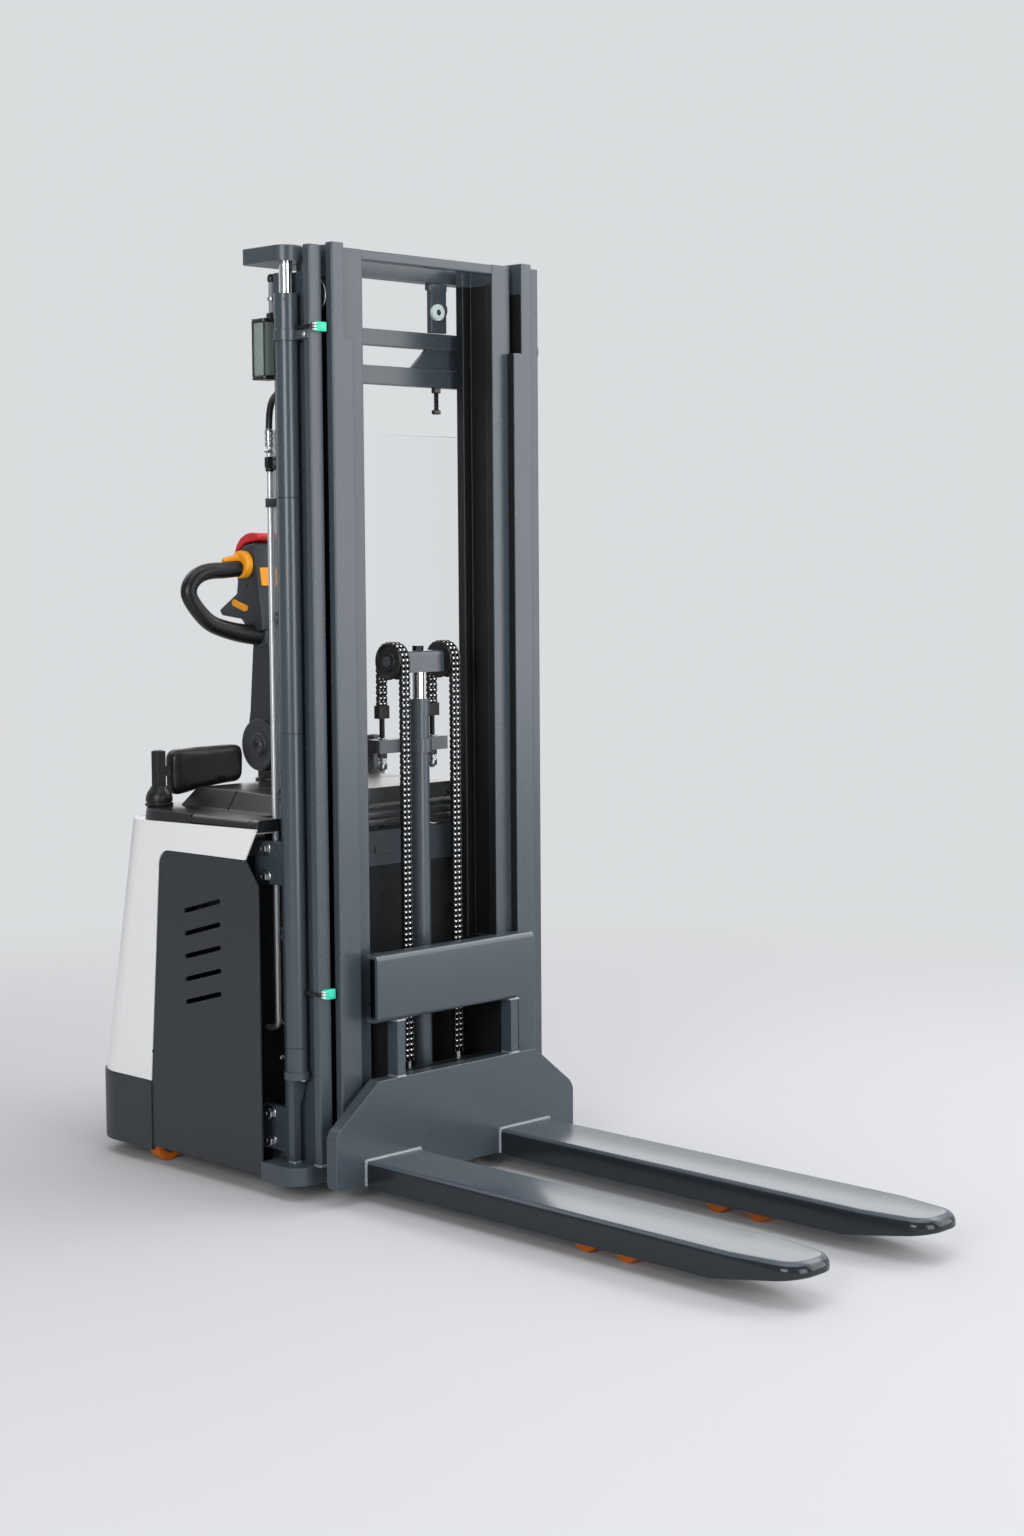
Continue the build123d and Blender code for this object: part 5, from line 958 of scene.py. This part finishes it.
# %% Tiller head
HEAD = [
    (-634, 1431.2), (-607, 1252), (-605, 1224), (-662, 1222), (-688, 1250), (-762, 1258), (-771, 1271),
    (-704, 1311), (-700, 1340), (-704, 1394), (-696, 1410.5), (-672, 1425.2),
]
COLLAR = [(-611, 1230), (-613, 1187), (-645, 1181), (-656, 1199), (-661, 1230)]
HEAD_SCREW = [(0, 1.2), (1.8, 1.2), (3.2, 0.8), (3.4, -0.4), (0, -0.4)]
shell_nylon = surface("moulded_nylon_shell", "#2f3237", 0.4, 3, 0.005, edge=0.25, round_mm=1.5)
bm = bmesh.new()
prism(bm, HEAD, 52, 4)
prism(bm, COLLAR, 37, 5)
head_shell = as_piece("tiller_head_shell", bm, shell_nylon, "tiller")
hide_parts("tiller_head")
bm = bmesh.new()
turned_pair(bm, HEAD_SCREW, (-664, 52, 1330), OUT, 14)
as_piece("tiller_head_screws", bm, blackened_steel, "tiller")

# %% [markdown]
# Each handle is one rubber-covered loop that leaves the head through the throttle drum,
# turns down and comes back under the head, thicker where it is moulded on. A NURBS line
# with a round bevel keeps the bends even.

# %% Handle loops
LOOP = [
    (-668, 56, 1372), (-669, 105, 1367), (-671, 165, 1366), (-673, 204, 1350), (-673, 224, 1316),
    (-670, 200, 1278), (-665, 165, 1242), (-658, 120, 1226), (-651, 70, 1215), (-646, 30, 1212),
]
LOOP_SWELL = [0.95, 1, 1, 1, 1, 1, 1.02, 1.08, 1.2, 1.3]
LOOP_MM = 39
grip_rubber = flat_finish("grip_rubber", "#0f1011", 0.36, 3)
for side, name in SIDES:
    loop = smooth_tube(f"{name}_handle_loop", [(x, side * y, z) for x, y, z in LOOP], LOOP_MM, LOOP_SWELL)
    loop.data.materials.append(grip_rubber)
    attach(loop, "tiller")

# %% [markdown]
# The thumb throttle is an orange drum on each side with a lever to push. The drum is a spun
# profile, the lever a swept ring that tapers to a round tip.

# %% Throttle
DRUM = [(0, 0), (31, 0), (33, 2), (33, 15), (31.5, 18.5), (27, 20.5), (22, 20.5), (20, 19), (0, 19)]
LEVER = ((60, 1397), (80, 1394), (98, 1391.5), (108, 1390), (113, 1389.4), (115, 1389.2))
LEVER_RADII = (10, 8.6, 7.6, 7, 5.2, 2)
bm = bmesh.new()
turned_pair(bm, DRUM, (-668, 53, 1380), OUT, 48)
for side in (-1, 1):
    swept(bm, [at(-676, side * y, z) for y, z in LEVER], LEVER_RADII, 16)
throttle_drums = as_piece("throttle_drums", bm, orange_abs, "throttle")
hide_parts("throttle")

# %% [markdown]
# The red cap on the head's end reverses the truck when it touches the driver. It is a soft
# dome, so its side outline is drawn as an arch and its edges are rounded well.

# %% Reverse cap
RED_CAP = [
    (-633, 1436.5), (-622, 1438.5), (-619, 1447), (-627, 1454), (-646, 1456.5), (-668, 1453), (-688, 1443),
    (-703, 1427), (-711, 1408), (-707, 1397.5), (-699.5, 1413.5), (-674, 1430.5),
]
bm = bmesh.new()
prism(bm, RED_CAP, 51, 3.5, 4)
red_cap = as_piece("reverse_cap", bm, red_abs, "reverse_button", crease=50)
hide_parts("reverse_button")

# %% [markdown]
# The tiller turns on a hub with a moulded cap on each side: a rim, a shallow dish and a
# raised boss. A profile spun about the pin gives the rings that catch the light.

# %% Hub caps
CAP = [
    (11.5, 0), (11.5, 4), (13, 5), (24, 5), (27, 4.2), (29, 1.6), (50, 1.2), (53, 2.6), (58, 3), (61, 1.6),
    (61.8, -0.5), (11.5, -0.5), (11.5, 0),
]
PIN_BOLT = [(0, 3.6), (6.5, 3.2), (8.2, 2), (8.6, 0), (8.6, -0.6), (0, -0.6)]
HUB_X, HUB_Z = -636, 950
bm = bmesh.new()
turned_pair(bm, CAP, (HUB_X, 46, HUB_Z), OUT, 64)
as_piece("tiller_hub_caps", bm, shell_nylon, "tiller")
bm = bmesh.new()
turned_pair(bm, PIN_BOLT, (HUB_X, 49, HUB_Z), OUT, 6)
as_piece("tiller_pin_bolts", bm, blackened_steel, "steering")

# %% [markdown]
# Bolts and screws in the frame are bare hexagons. Real ones have a washer, a chamfered head
# and, on the stop bolts, a thread with two nuts. They ride with the chassis: the plated ones
# are one piece that stands for the frame's fasteners, and the black stop bolts are another.

# %% Fasteners
HEX_HEAD = [(0, 0), (12, 0), (12, 7.4), (10.2, 9.2), (6, 9.2), (5, 8.2), (0, 8.2)]
WASHER = chamfered(16.2, 2.4, 0.7, 0.6)
BUTTON = [(0, 0), (6.5, 0), (6.5, 1.2), (5, 3.2), (3, 4), (2.4, 4), (2.2, 2.6), (0, 2.6)]
FOOT_SCREW = [(0, 0), (7.6, 0), (7.6, 5), (6.4, 6.4), (0, 6.4)]
SPACER = [(0, 0), (3, 0), (3, 12), (5, 12), (5, 15.5), (0, 15.5)]
MOUNT_BOLTS = ((-250, 758), (-250, 696), (-244, 168), (-244, 107))
GUARD_SCREWS = (569, 880, 1271, 1609)
STOP_X, STOP_Y = -228.5, 163.0
STOP_LOW, STOP_TOP = 1722.0, 1782.0
THREAD_PITCH, THREAD_TOP, THREAD_ROOT = 3.0, 6.0, 5.1
bm = bmesh.new()
for x, z in MOUNT_BOLTS:
    turned_pair(bm, WASHER, (x, 345, z), OUT, 28)
    turned_pair(bm, HEX_HEAD, (x, 347, z), OUT, 6)
turned_pair(bm, BUTTON, (-92, 350, 1864), OUT, 20)
turned_pair(bm, FOOT_SCREW, (-134, 346, 262), (0, 0, -1), 6)
turned_pair(bm, BUTTON, (-297, 269, 273), FORWARD, 20)
for z in GUARD_SCREWS:
    turned_pair(bm, BUTTON, (-273, 284, z), (-1, 0, 0), 20)
    turned_pair(bm, SPACER, (-273, 284, z), FORWARD, 16)
fasteners = as_piece("zinc_fasteners", bm, zinc_plate, "chassis")
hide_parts("mast_fasteners")

stop_run = STOP_TOP - STOP_LOW
thread = [(0, 0)]
for turn in range(int(stop_run / THREAD_PITCH)):
    thread += [(THREAD_TOP, turn * THREAD_PITCH), (THREAD_ROOT, (turn + 0.5) * THREAD_PITCH)]
thread += [(THREAD_TOP, stop_run), (0, stop_run)]
bm = bmesh.new()
turned_pair(bm, thread, (STOP_X, STOP_Y, STOP_LOW), UP, 16)
for z, height in ((STOP_LOW, 10), (STOP_TOP - 12, 12)):
    turned_pair(bm, chamfered(11, height, 1.6, 1.4), (STOP_X, STOP_Y, z), UP, 6)
as_piece("stop_bolts", bm, blackened_steel, "chassis")

# %% [markdown]
# A strap clamp holds the head of each lift cylinder to the rail's flange: a band round the
# sleeve and an ear with one screw. The band is a spun ring, the ear a rounded block. Small
# dark plugs sit in each cylinder's head and in each side panel.

# %% Cylinder clamps
CYLINDER_X, CYLINDER_Y = -149, 350
BAND = [(24, 0), (28.2, 0), (29, 0.8), (29, 24), (28.2, 24.8), (24, 24.8), (24, 0)]
HEAD_PLUG = [(0, 0.8), (2, 0.8), (2.6, 0.3), (2.6, -1), (0, -1)]
HEAD_PLUG_ANGLE, HEAD_PLUG_RADIUS, HEAD_PLUG_Z = math.radians(40), 26.5, 1939
PANEL_PLUG = [(0, 1.2), (3.4, 1.2), (4.4, 0.4), (4.4, -0.5), (0, -0.5)]
PANEL_PLUGS, PANEL_Y = ((-554.7, 679), (-598.8, 266.6)), 402
bm = bmesh.new()
turned_pair(bm, BAND, (CYLINDER_X, CYLINDER_Y, 1853), UP, 48)
for side in (-1, 1):
    block(bm, -126, -80, side * 346.2, side * 350, 1855, 1874, 1.2)
as_piece("cylinder_clamps", bm, smooth_powder_coat, "chassis")
bm = bmesh.new()
for side in (-1, 1):
    outward = Vector((math.sin(HEAD_PLUG_ANGLE), side * math.cos(HEAD_PLUG_ANGLE), 0))
    spot = Vector((CYLINDER_X, side * CYLINDER_Y, HEAD_PLUG_Z)) + HEAD_PLUG_RADIUS * outward
    turned(bm, HEAD_PLUG, at(*spot), outward, 14)
for x, z in PANEL_PLUGS:
    turned_pair(bm, PANEL_PLUG, (x, PANEL_Y, z), OUT, 14)
as_piece("dark_plugs", bm, blackened_steel, "chassis")

# %% [markdown]
# Under the yoke hangs a plate with a rubber ring that softens the last millimetres of the
# mast's way down. The ring is pale against the dark plate.

# %% Buffer
pale_rubber = surface("pale_buffer_rubber", "#cfdcd9", 0.5, 4, 0.04, edge=0.0, round_mm=1.0)
BUFFER = [(0, 1.5), (6.2, 1.5), (6.6, 9), (8, 10.5), (17, 10.5), (18.8, 8.5), (18.8, 0), (0, 0)]
BUFFER_SIDES = 36
bm = bmesh.new()
block(bm, -231, -216, 138, 187, 1906, 2018, 2)
block(bm, -233, -218, 134, 191, 2002, 2018, 2)
as_piece("buffer_plate", bm, charcoal_powder_coat, "middle_mast")
bm = bmesh.new()
ring_faces = turned(bm, BUFFER, at(-217, 155, 1952), FORWARD, BUFFER_SIDES)
# The first two rows of faces are the dark hole in the ring.
for face in ring_faces[:2 * BUFFER_SIDES]:
    face.material_index = 1
as_piece("buffer_ring", bm, (pale_rubber, moulded_rubber), "middle_mast")

# %% [markdown]
# Fork blades are pressed steel channels with closed noses. A nose is round in plan and its top
# edge rolls over, softer at the tip: so its plan is set out at each height, inset where the
# edge rolls, and the plans are skinned. Its underside rises to the tip. Behind the nose the
# blade is open below, as the load wheels' legs lie inside.

# %% Fork blades
BLADE_Y, BLADE_HALF, BLADE_TOP, BLADE_LOW = 205.0, 80.0, 90.0, 32.0
BLADE_FROM, NOSE_FROM, TAPER_FROM, BLADE_END = 0.2, 970.0, 1010.0, 1168.0
BLADE_ROUND, BLADE_WALL = 12.0, 8.0
NOSE_NARROWS, NOSE_RISES, NOSE_ROUND, NOSE_FLAT = 14.0, 30.0, 58.0, 11.0
LOW_EDGE, TIP_SOFTER = 2.5, 9.0
NOSE_STEPS, ROLL_STEPS, CORNER_STEPS = 18, 8, 6


def nose_plan():
    """Return the nose's plan as (x, y) with its outward direction, from left back round to right back."""
    lean = math.atan2(NOSE_NARROWS, BLADE_END - TAPER_FROM)
    half = [(NOSE_FROM, BLADE_HALF, 0.0, 1.0), (TAPER_FROM, BLADE_HALF, 0.0, 1.0)]
    for k in range(NOSE_STEPS + 1):
        angle = (math.pi / 2 - lean) * (1 - k / NOSE_STEPS)
        along, across = math.cos(angle), math.sin(angle)
        half.append((BLADE_END - NOSE_ROUND * (1 - along), NOSE_FLAT + NOSE_ROUND * across, along, across))
    return half + [(x, -y, along, -across) for x, y, along, across in half[::-1]]


def nose_ring(low_inset, roll):
    """Return a ring round the nose: on its underside's edge, or at a roll angle of its top edge."""
    spots = []
    for x, y, along, across in nose_plan():
        share = max(0.0, (x - TAPER_FROM) / (BLADE_END - TAPER_FROM))
        radius = BLADE_ROUND + TIP_SOFTER * share
        inset, z = radius * (1 - math.cos(roll)), BLADE_TOP - radius * (1 - math.sin(roll))
        if low_inset is not None:
            inset = low_inset
            z = BLADE_LOW + NOSE_RISES * (x - NOSE_FROM) / (BLADE_END - NOSE_FROM) + LOW_EDGE - low_inset
        spots.append((x - along * inset, y - across * inset, z))
    return spots


def section(half, low, top, radius, low_radius):
    """Return a rounded box section as (y, z) pairs, from its low right corner round to its low left."""
    corners = (
        (half - low_radius, low + low_radius, low_radius, 3),
        (half - radius, top - radius, radius, 0),
        (radius - half, top - radius, radius, 1),
        (low_radius - half, low + low_radius, low_radius, 2),
    )
    return [pair for y, z, r, turn in corners for pair in arc(y, z, r, turn, turn + 1, CORNER_STEPS)]


for side, name in SIDES:
    middle = side * BLADE_Y
    bm = bmesh.new()
    plans = [nose_ring(LOW_EDGE, 0.0), nose_ring(0.0, 0.0)]
    plans += [nose_ring(None, math.pi / 2 * k / ROLL_STEPS) for k in range(ROLL_STEPS + 1)]
    skin(bm, [ring(bm, [(x, middle + y, z) for x, y, z in plan]) for plan in plans])
    outside = section(BLADE_HALF, BLADE_LOW, BLADE_TOP, BLADE_ROUND, 1.5)[3:-3]
    inside = section(BLADE_HALF - BLADE_WALL, BLADE_LOW, BLADE_TOP - BLADE_WALL, 3.0, 1.0)[5:-5]
    channel = outside + inside[::-1]
    skin(bm, [ring(bm, [(x, middle + y, z) for y, z in channel]) for x in (BLADE_FROM, NOSE_FROM + 0.5)])
    blade = as_piece(f"{name}_fork_blade", bm, fork_coat_painted_shade_and_light, "carriage", crease=40)
    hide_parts(f"{name}_fork")

# %% [markdown]
# The load backrest is a plate folded at its top and bottom. A fold has a round outside, and
# that round carries the bright line along its top, so the folded section is drawn and skinned.

# %% Backrest
FOLD_FRONT, FOLD_BACK, FOLD_LOW, FOLD_TOP = -2.5, -38.5, 384.5, 532.7
FOLD_R, FOLD_WALL, FOLD_HALF = 12.0, 8.0, 243.0


def folded_line(inset, radius):
    """Return the folded plate's line as (x, z) pairs from its top back edge to its low back edge."""
    x, low, top = FOLD_FRONT - inset - radius, FOLD_LOW + inset, FOLD_TOP - inset
    upper = arc(x, top - radius, radius, 1, 0, CORNER_STEPS)
    lower = arc(x, low + radius, radius, 0, -1, CORNER_STEPS)
    return [(FOLD_BACK, top), *upper, *lower, (FOLD_BACK, low)]


bm = bmesh.new()
fold = folded_line(0, FOLD_R) + folded_line(FOLD_WALL, FOLD_R - FOLD_WALL)[::-1]
skin(bm, [ring(bm, [(x, y, z) for x, z in fold]) for y in (-FOLD_HALF, FOLD_HALF)])
backrest = as_piece("folded_backrest", bm, smooth_powder_coat, "carriage", crease=40)
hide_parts("load_backrest")

# %% [markdown]
# Welds show where forks, struts and feet meet the plates. A bead is a row of small
# overlapping pools, so a swept ring whose radius ripples every few millimetres gives it. A
# real ripple is about 2 mm; it is drawn at 5 mm. The paint over it is a little shinier, and
# it is coloured much lighter than the coat: a painted highlight.

# %% Weld beads
BEAD_STEP = 1.25
RIPPLE_MM, RIPPLE_SHARE = 5.0, 0.2
FOOT_WELD_Z = 75.5
# The beads are coloured much lighter than the charcoal coat: a painted highlight.
weld_bead_painted_highlight = flat_finish("weld_bead_painted_highlight", "#8b9196", 0.24, 6, metallic=0.5)


def weld(bm, corners, radius):
    """Add a weld bead along a line of the drawing's corners."""
    spots = [Vector(c) for c in corners]
    line, radii, run = [], [], 0.0
    for start, end in zip(spots, spots[1:]):
        steps = max(2, int((end - start).length / BEAD_STEP))
        for k in range(steps):
            line.append(at(*start.lerp(end, k / steps)))
            radii.append(radius * (1 + RIPPLE_SHARE * math.sin(2 * math.pi * run / RIPPLE_MM)))
            run += (end - start).length / steps
    line.append(at(*spots[-1]))
    radii.append(radius)
    swept(bm, line, radii, 8)


bm = bmesh.new()
for side in (-1, 1):
    inner, outer = side * 125, side * 285
    weld(bm, [(0.5, inner, 36), (0.5, inner, 90.5), (0.5, outer, 90.5), (0.5, outer, 36)], 4.6)
    y0, y1 = side * 165, side * 187
    for z in (259.5, 384):
        weld(bm, [(-31, y0, z), (-1.5, y0, z), (-1.5, y1, z), (-31, y1, z)], 3.4)
as_piece("carriage_welds", bm, weld_bead_painted_highlight, "carriage", crease=80)

bm = bmesh.new()
for side in (-1, 1):
    y0, y1, y2 = side * 313, side * 346, side * 364
    weld(bm, [(x, y, FOOT_WELD_Z) for x, y in ((-99, y1), (-77, y1), (-77, y0))], 3.2)
    weld(bm, [(x, y, FOOT_WELD_Z) for x, y in ((-145, y1), (-145, y2), (-163, y2))], 2.8)
as_piece("foot_welds", bm, weld_bead_painted_highlight, "chassis", crease=80)

# %% [markdown]
# Lift cylinders are made of a tube, a welded foot and a screwed gland, so thin dark joint
# lines run round them. A ring that stands a fraction of a millimetre proud in matt black
# reads as a groove from every side.

# %% Cylinder joint lines
GROOVE = [(0, 0), (24.75, 0), (24.75, 1.6), (0, 1.6)]
joint_black = flat_finish("joint_shadow", "#060607", 0.8, 4)
bm = bmesh.new()
for z in (330, 1016, 1521):
    turned_pair(bm, GROOVE, (CYLINDER_X, CYLINDER_Y, z), UP, 40)
as_piece("cylinder_joints", bm, joint_black, "chassis")

# %% [markdown]
# The small box on the right rail has a black case, a clear lid with four screws, and a
# terminal board behind it. Its conduit climbs to a fitting under the yoke. It is built here
# in full, because the lid has to be seen through.

# %% Junction box
x0, x1, y0, y1, z0, z1 = -240, -195, -371, -326, 1775, 1905
wx0, wx1, wz0, wz1 = -233, -202, 1784, 1896
LID_DEPTH = 14
CONDUIT = (-209.5, -339)
GLAND = [(0, 0), (10.5, 0), (12, 1.5), (12, 12), (10.5, 14), (0, 14)]
FITTING = [(0, 0), (7.2, 0), (8.6, 3), (8.8, 10), (7, 15), (4, 17), (0, 17)]
bm = bmesh.new()
block(bm, x0, x1, y0 + LID_DEPTH, y1, z0, z1, 4)
for bx0, bx1, bz0, bz1 in ((x0, wx0, z0, z1), (wx1, x1, z0, z1), (wx0 - 1, wx1 + 1, z0, wz0),
                           (wx0 - 1, wx1 + 1, wz1, z1)):
    block(bm, bx0, bx1, y0, y0 + LID_DEPTH + 4, bz0, bz1, 1.2)
turned(bm, GLAND, at(*CONDUIT, 1904), UP, 6)
turned(bm, FITTING, at(*CONDUIT, 1983), UP, 24)
box_case = as_piece("sensor_box_case", bm, moulded_polypropylene, "chassis")
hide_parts("junction_box")

tinted_acrylic = clear_plastic("tinted_clear_acrylic", "#a9bab4", 0.45, 1.49, 60, 0.05, 0.12)
bm = bmesh.new()
block(bm, wx0, wx1, y0 + 0.6, y0 + 4, wz0, wz1, 0.8)
block(bm, x1 - 0.4, x1 + 1.2, y0 + 2, -347.5, wz0, wz1, 0.5)
as_piece("sensor_box_window", bm, tinted_acrylic, "chassis")

TERMINALS, TERMINAL_STEP, TERMINAL_HEIGHT = 6, 15, 10
terminal_board = surface("terminal_board", "#5d7a70", 0.5, 4, 0.05, edge=0.1)
bm = bmesh.new()
block(bm, wx0 + 0.5, wx1 - 0.5, y0 + 10, y0 + 14.5, wz0 + 1, wz1 - 1, 0.6)
for k in range(TERMINALS):
    low = wz0 + 14 + TERMINAL_STEP * k
    block(bm, wx0 + 6, wx1 - 6, y0 + 5.5, y0 + 11, low, low + TERMINAL_HEIGHT, 0.8)
as_piece("sensor_box_board", bm, terminal_board, "chassis")

LID_SCREW = [(0, 0), (2.4, 0), (2.4, 0.8), (1.6, 1.2), (0, 1.2)]
COUPLING = [(6.4, 0), (9.6, 0.5), (10, 3), (9.6, 7), (6.4, 7.5)]
bm = bmesh.new()
for x in (x0 + 3.6, x1 - 3.6):
    for z in (z0 + 4.6, z1 - 4.6):
        turned(bm, LID_SCREW, at(x, y0 + 0.2, z), (0, -1, 0), 12)
turned(bm, COUPLING, at(*CONDUIT, 1944), UP, 24)
as_piece("sensor_box_screws", bm, zinc_plate, "chassis")

RIBS, RIB_STEP, CONDUIT_RUN = 24, 2.8, 67.5
grey_conduit = surface("grey_conduit_pvc", "#8f9498", 0.4, 5, 0.04, cloud=0.05, edge=0.1)
ribs = [(0, 0)]
for k in range(RIBS):
    ribs += [(6.5, k * RIB_STEP), (6.5, k * RIB_STEP + 1.5), (5.7, k * RIB_STEP + 2.1)]
ribs += [(6.2, CONDUIT_RUN), (0, CONDUIT_RUN)]
bm = bmesh.new()
turned(bm, ribs, at(*CONDUIT, 1917), UP, 24)
as_piece("sensor_box_conduit", bm, grey_conduit, "chassis")

# %% [markdown]
# Two sensors watch the carriage pass: a teal block in the rail's front, a row of white
# terminals at its end, and a black strip that carries its leads round the flange.

# %% Sensors
teal_block = surface("teal_abs", "#2fcda7", 0.36, 4, 0.04, cloud=0.04, edge=0.2)
white_nylon = surface("white_nylon", "#e6e9e8", 0.4, 4, 0.03, edge=0.0)
bm_teal, bm_white, bm_black = bmesh.new(), bmesh.new(), bmesh.new()
for z0, z1 in ((1870, 1890), (442, 464)):
    middle = (z0 + z1) / 2
    block(bm_teal, -77.4, -64, -336, -309, z0, z1, 2)
    block(bm_teal, -64.4, -62.6, -330, -314, z0 + 4, z1 - 4, 0.8)
    for z in (middle - 6, middle, middle + 6):
        block(bm_white, -76, -66, -341, -335.5, z - 2, z + 2, 0.8)
    block(bm_black, -78, -74, -350, -335, middle - 5, middle + 5, 1.2)
    block(bm_black, -124, -74, -350, -346.4, middle - 4, middle + 4, 1.2)
teal_blocks = as_piece("sensor_blocks", bm_teal, teal_block, "chassis")
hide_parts("mast_sensors")
as_piece("sensor_terminals", bm_white, white_nylon, "chassis")
as_piece("sensor_strips", bm_black, moulded_rubber, "chassis")

# %% [markdown]
# The clear sheet is sawn and its edge polished, so the edge gathers the light that runs
# inside the sheet. A thin near-white rim a hair outside the sheet's outline paints that light
# on: a painted highlight. A pale angle strip under the screws stiffens each long side; it is
# as clear as frosted glass.

# %% Sheet edge
SHEET = (-295.0, 305.0, 355.0, 1674.0)
SHEET_BACK, SHEET_FRONT = -273.2, -266.8
SHEET_CORNER, SHEET_STEPS = 18.0, 8
RIM = 0.3


def sheet_outline(x, grow):
    """Return the sheet's outline at an x, grown outwards."""
    inwards = SHEET_CORNER - grow
    y0, y1, z0, z1 = SHEET[0] + inwards, SHEET[1] - inwards, SHEET[2] + inwards, SHEET[3] - inwards
    pairs = []
    for turn, (y, z) in enumerate(((y1, z1), (y0, z1), (y0, z0), (y1, z0))):
        pairs += arc(y, z, SHEET_CORNER, turn, turn + 1, SHEET_STEPS)
    return [(x, y, z) for y, z in pairs]


bm = bmesh.new()
CORNERS = ((SHEET_BACK, RIM), (SHEET_FRONT, RIM), (SHEET_FRONT, -RIM), (SHEET_BACK, -RIM))
loops = [ring(bm, sheet_outline(x, grow)) for x, grow in CORNERS]
skin(bm, loops + loops[:1], closed_ends=False)
as_piece("guard_sheet_edge", bm, sheet_edge_highlight, "chassis")

STRIP = ((-264.6, 0), (-264.6, 19), (-266.7, 19), (-266.7, 1.8), (-274, 1.8), (-274, 0))
STRIP_ENDS, STRIP_Y = (818.0, 1673.0), 297.2
frosted_strip = flat_finish("frosted_polycarbonate_strip", "#c9d0d5", 0.3, 20, cloud=0.04, Alpha=0.5)
bm = bmesh.new()
for side in (-1, 1):
    skin(bm, [ring(bm, [(x, side * (STRIP_Y - inset), z) for x, inset in STRIP]) for z in STRIP_ENDS])
as_piece("guard_sheet_strips", bm, frosted_strip, "chassis")

# %% [markdown]
# The driver stands on a folding platform with a ribbed rubber mat. The mat lies in the
# platform's shallow pocket, with a border and rows of round ribs.

# %% Platform mat
MAT_ROWS, MAT_STEP = 14, 20.5
MAT_RIB = chamfered(6, 431.5, 1, 1.5)
bm = bmesh.new()
block(bm, -884.6, -877, -226, 226, 227, 518, 2)
for row in range(MAT_ROWS):
    turned(bm, MAT_RIB, at(-877.5, -215.7, 240 + row * MAT_STEP), OUT, 16)
as_piece("platform_mat", bm, moulded_rubber, "platform")

# %% [markdown]
# The lid's front edge is moulded with flat ribs, one on the lid and two on the sill below it.

# %% Lid ribs
bm = bmesh.new()
block(bm, -283.5, -279, -285, 372, 813, 827, 2)
block(bm, -281, -277.4, -283, 370, 817, 823, 1.6)
as_piece("lid_rib", bm, moulded_polypropylene, "battery_lid")
bm = bmesh.new()
for z in (776, 794):
    block(bm, -284, -278, -300, 372, z, z + 16, 2)
as_piece("sill_ribs", bm, moulded_polypropylene, "chassis")
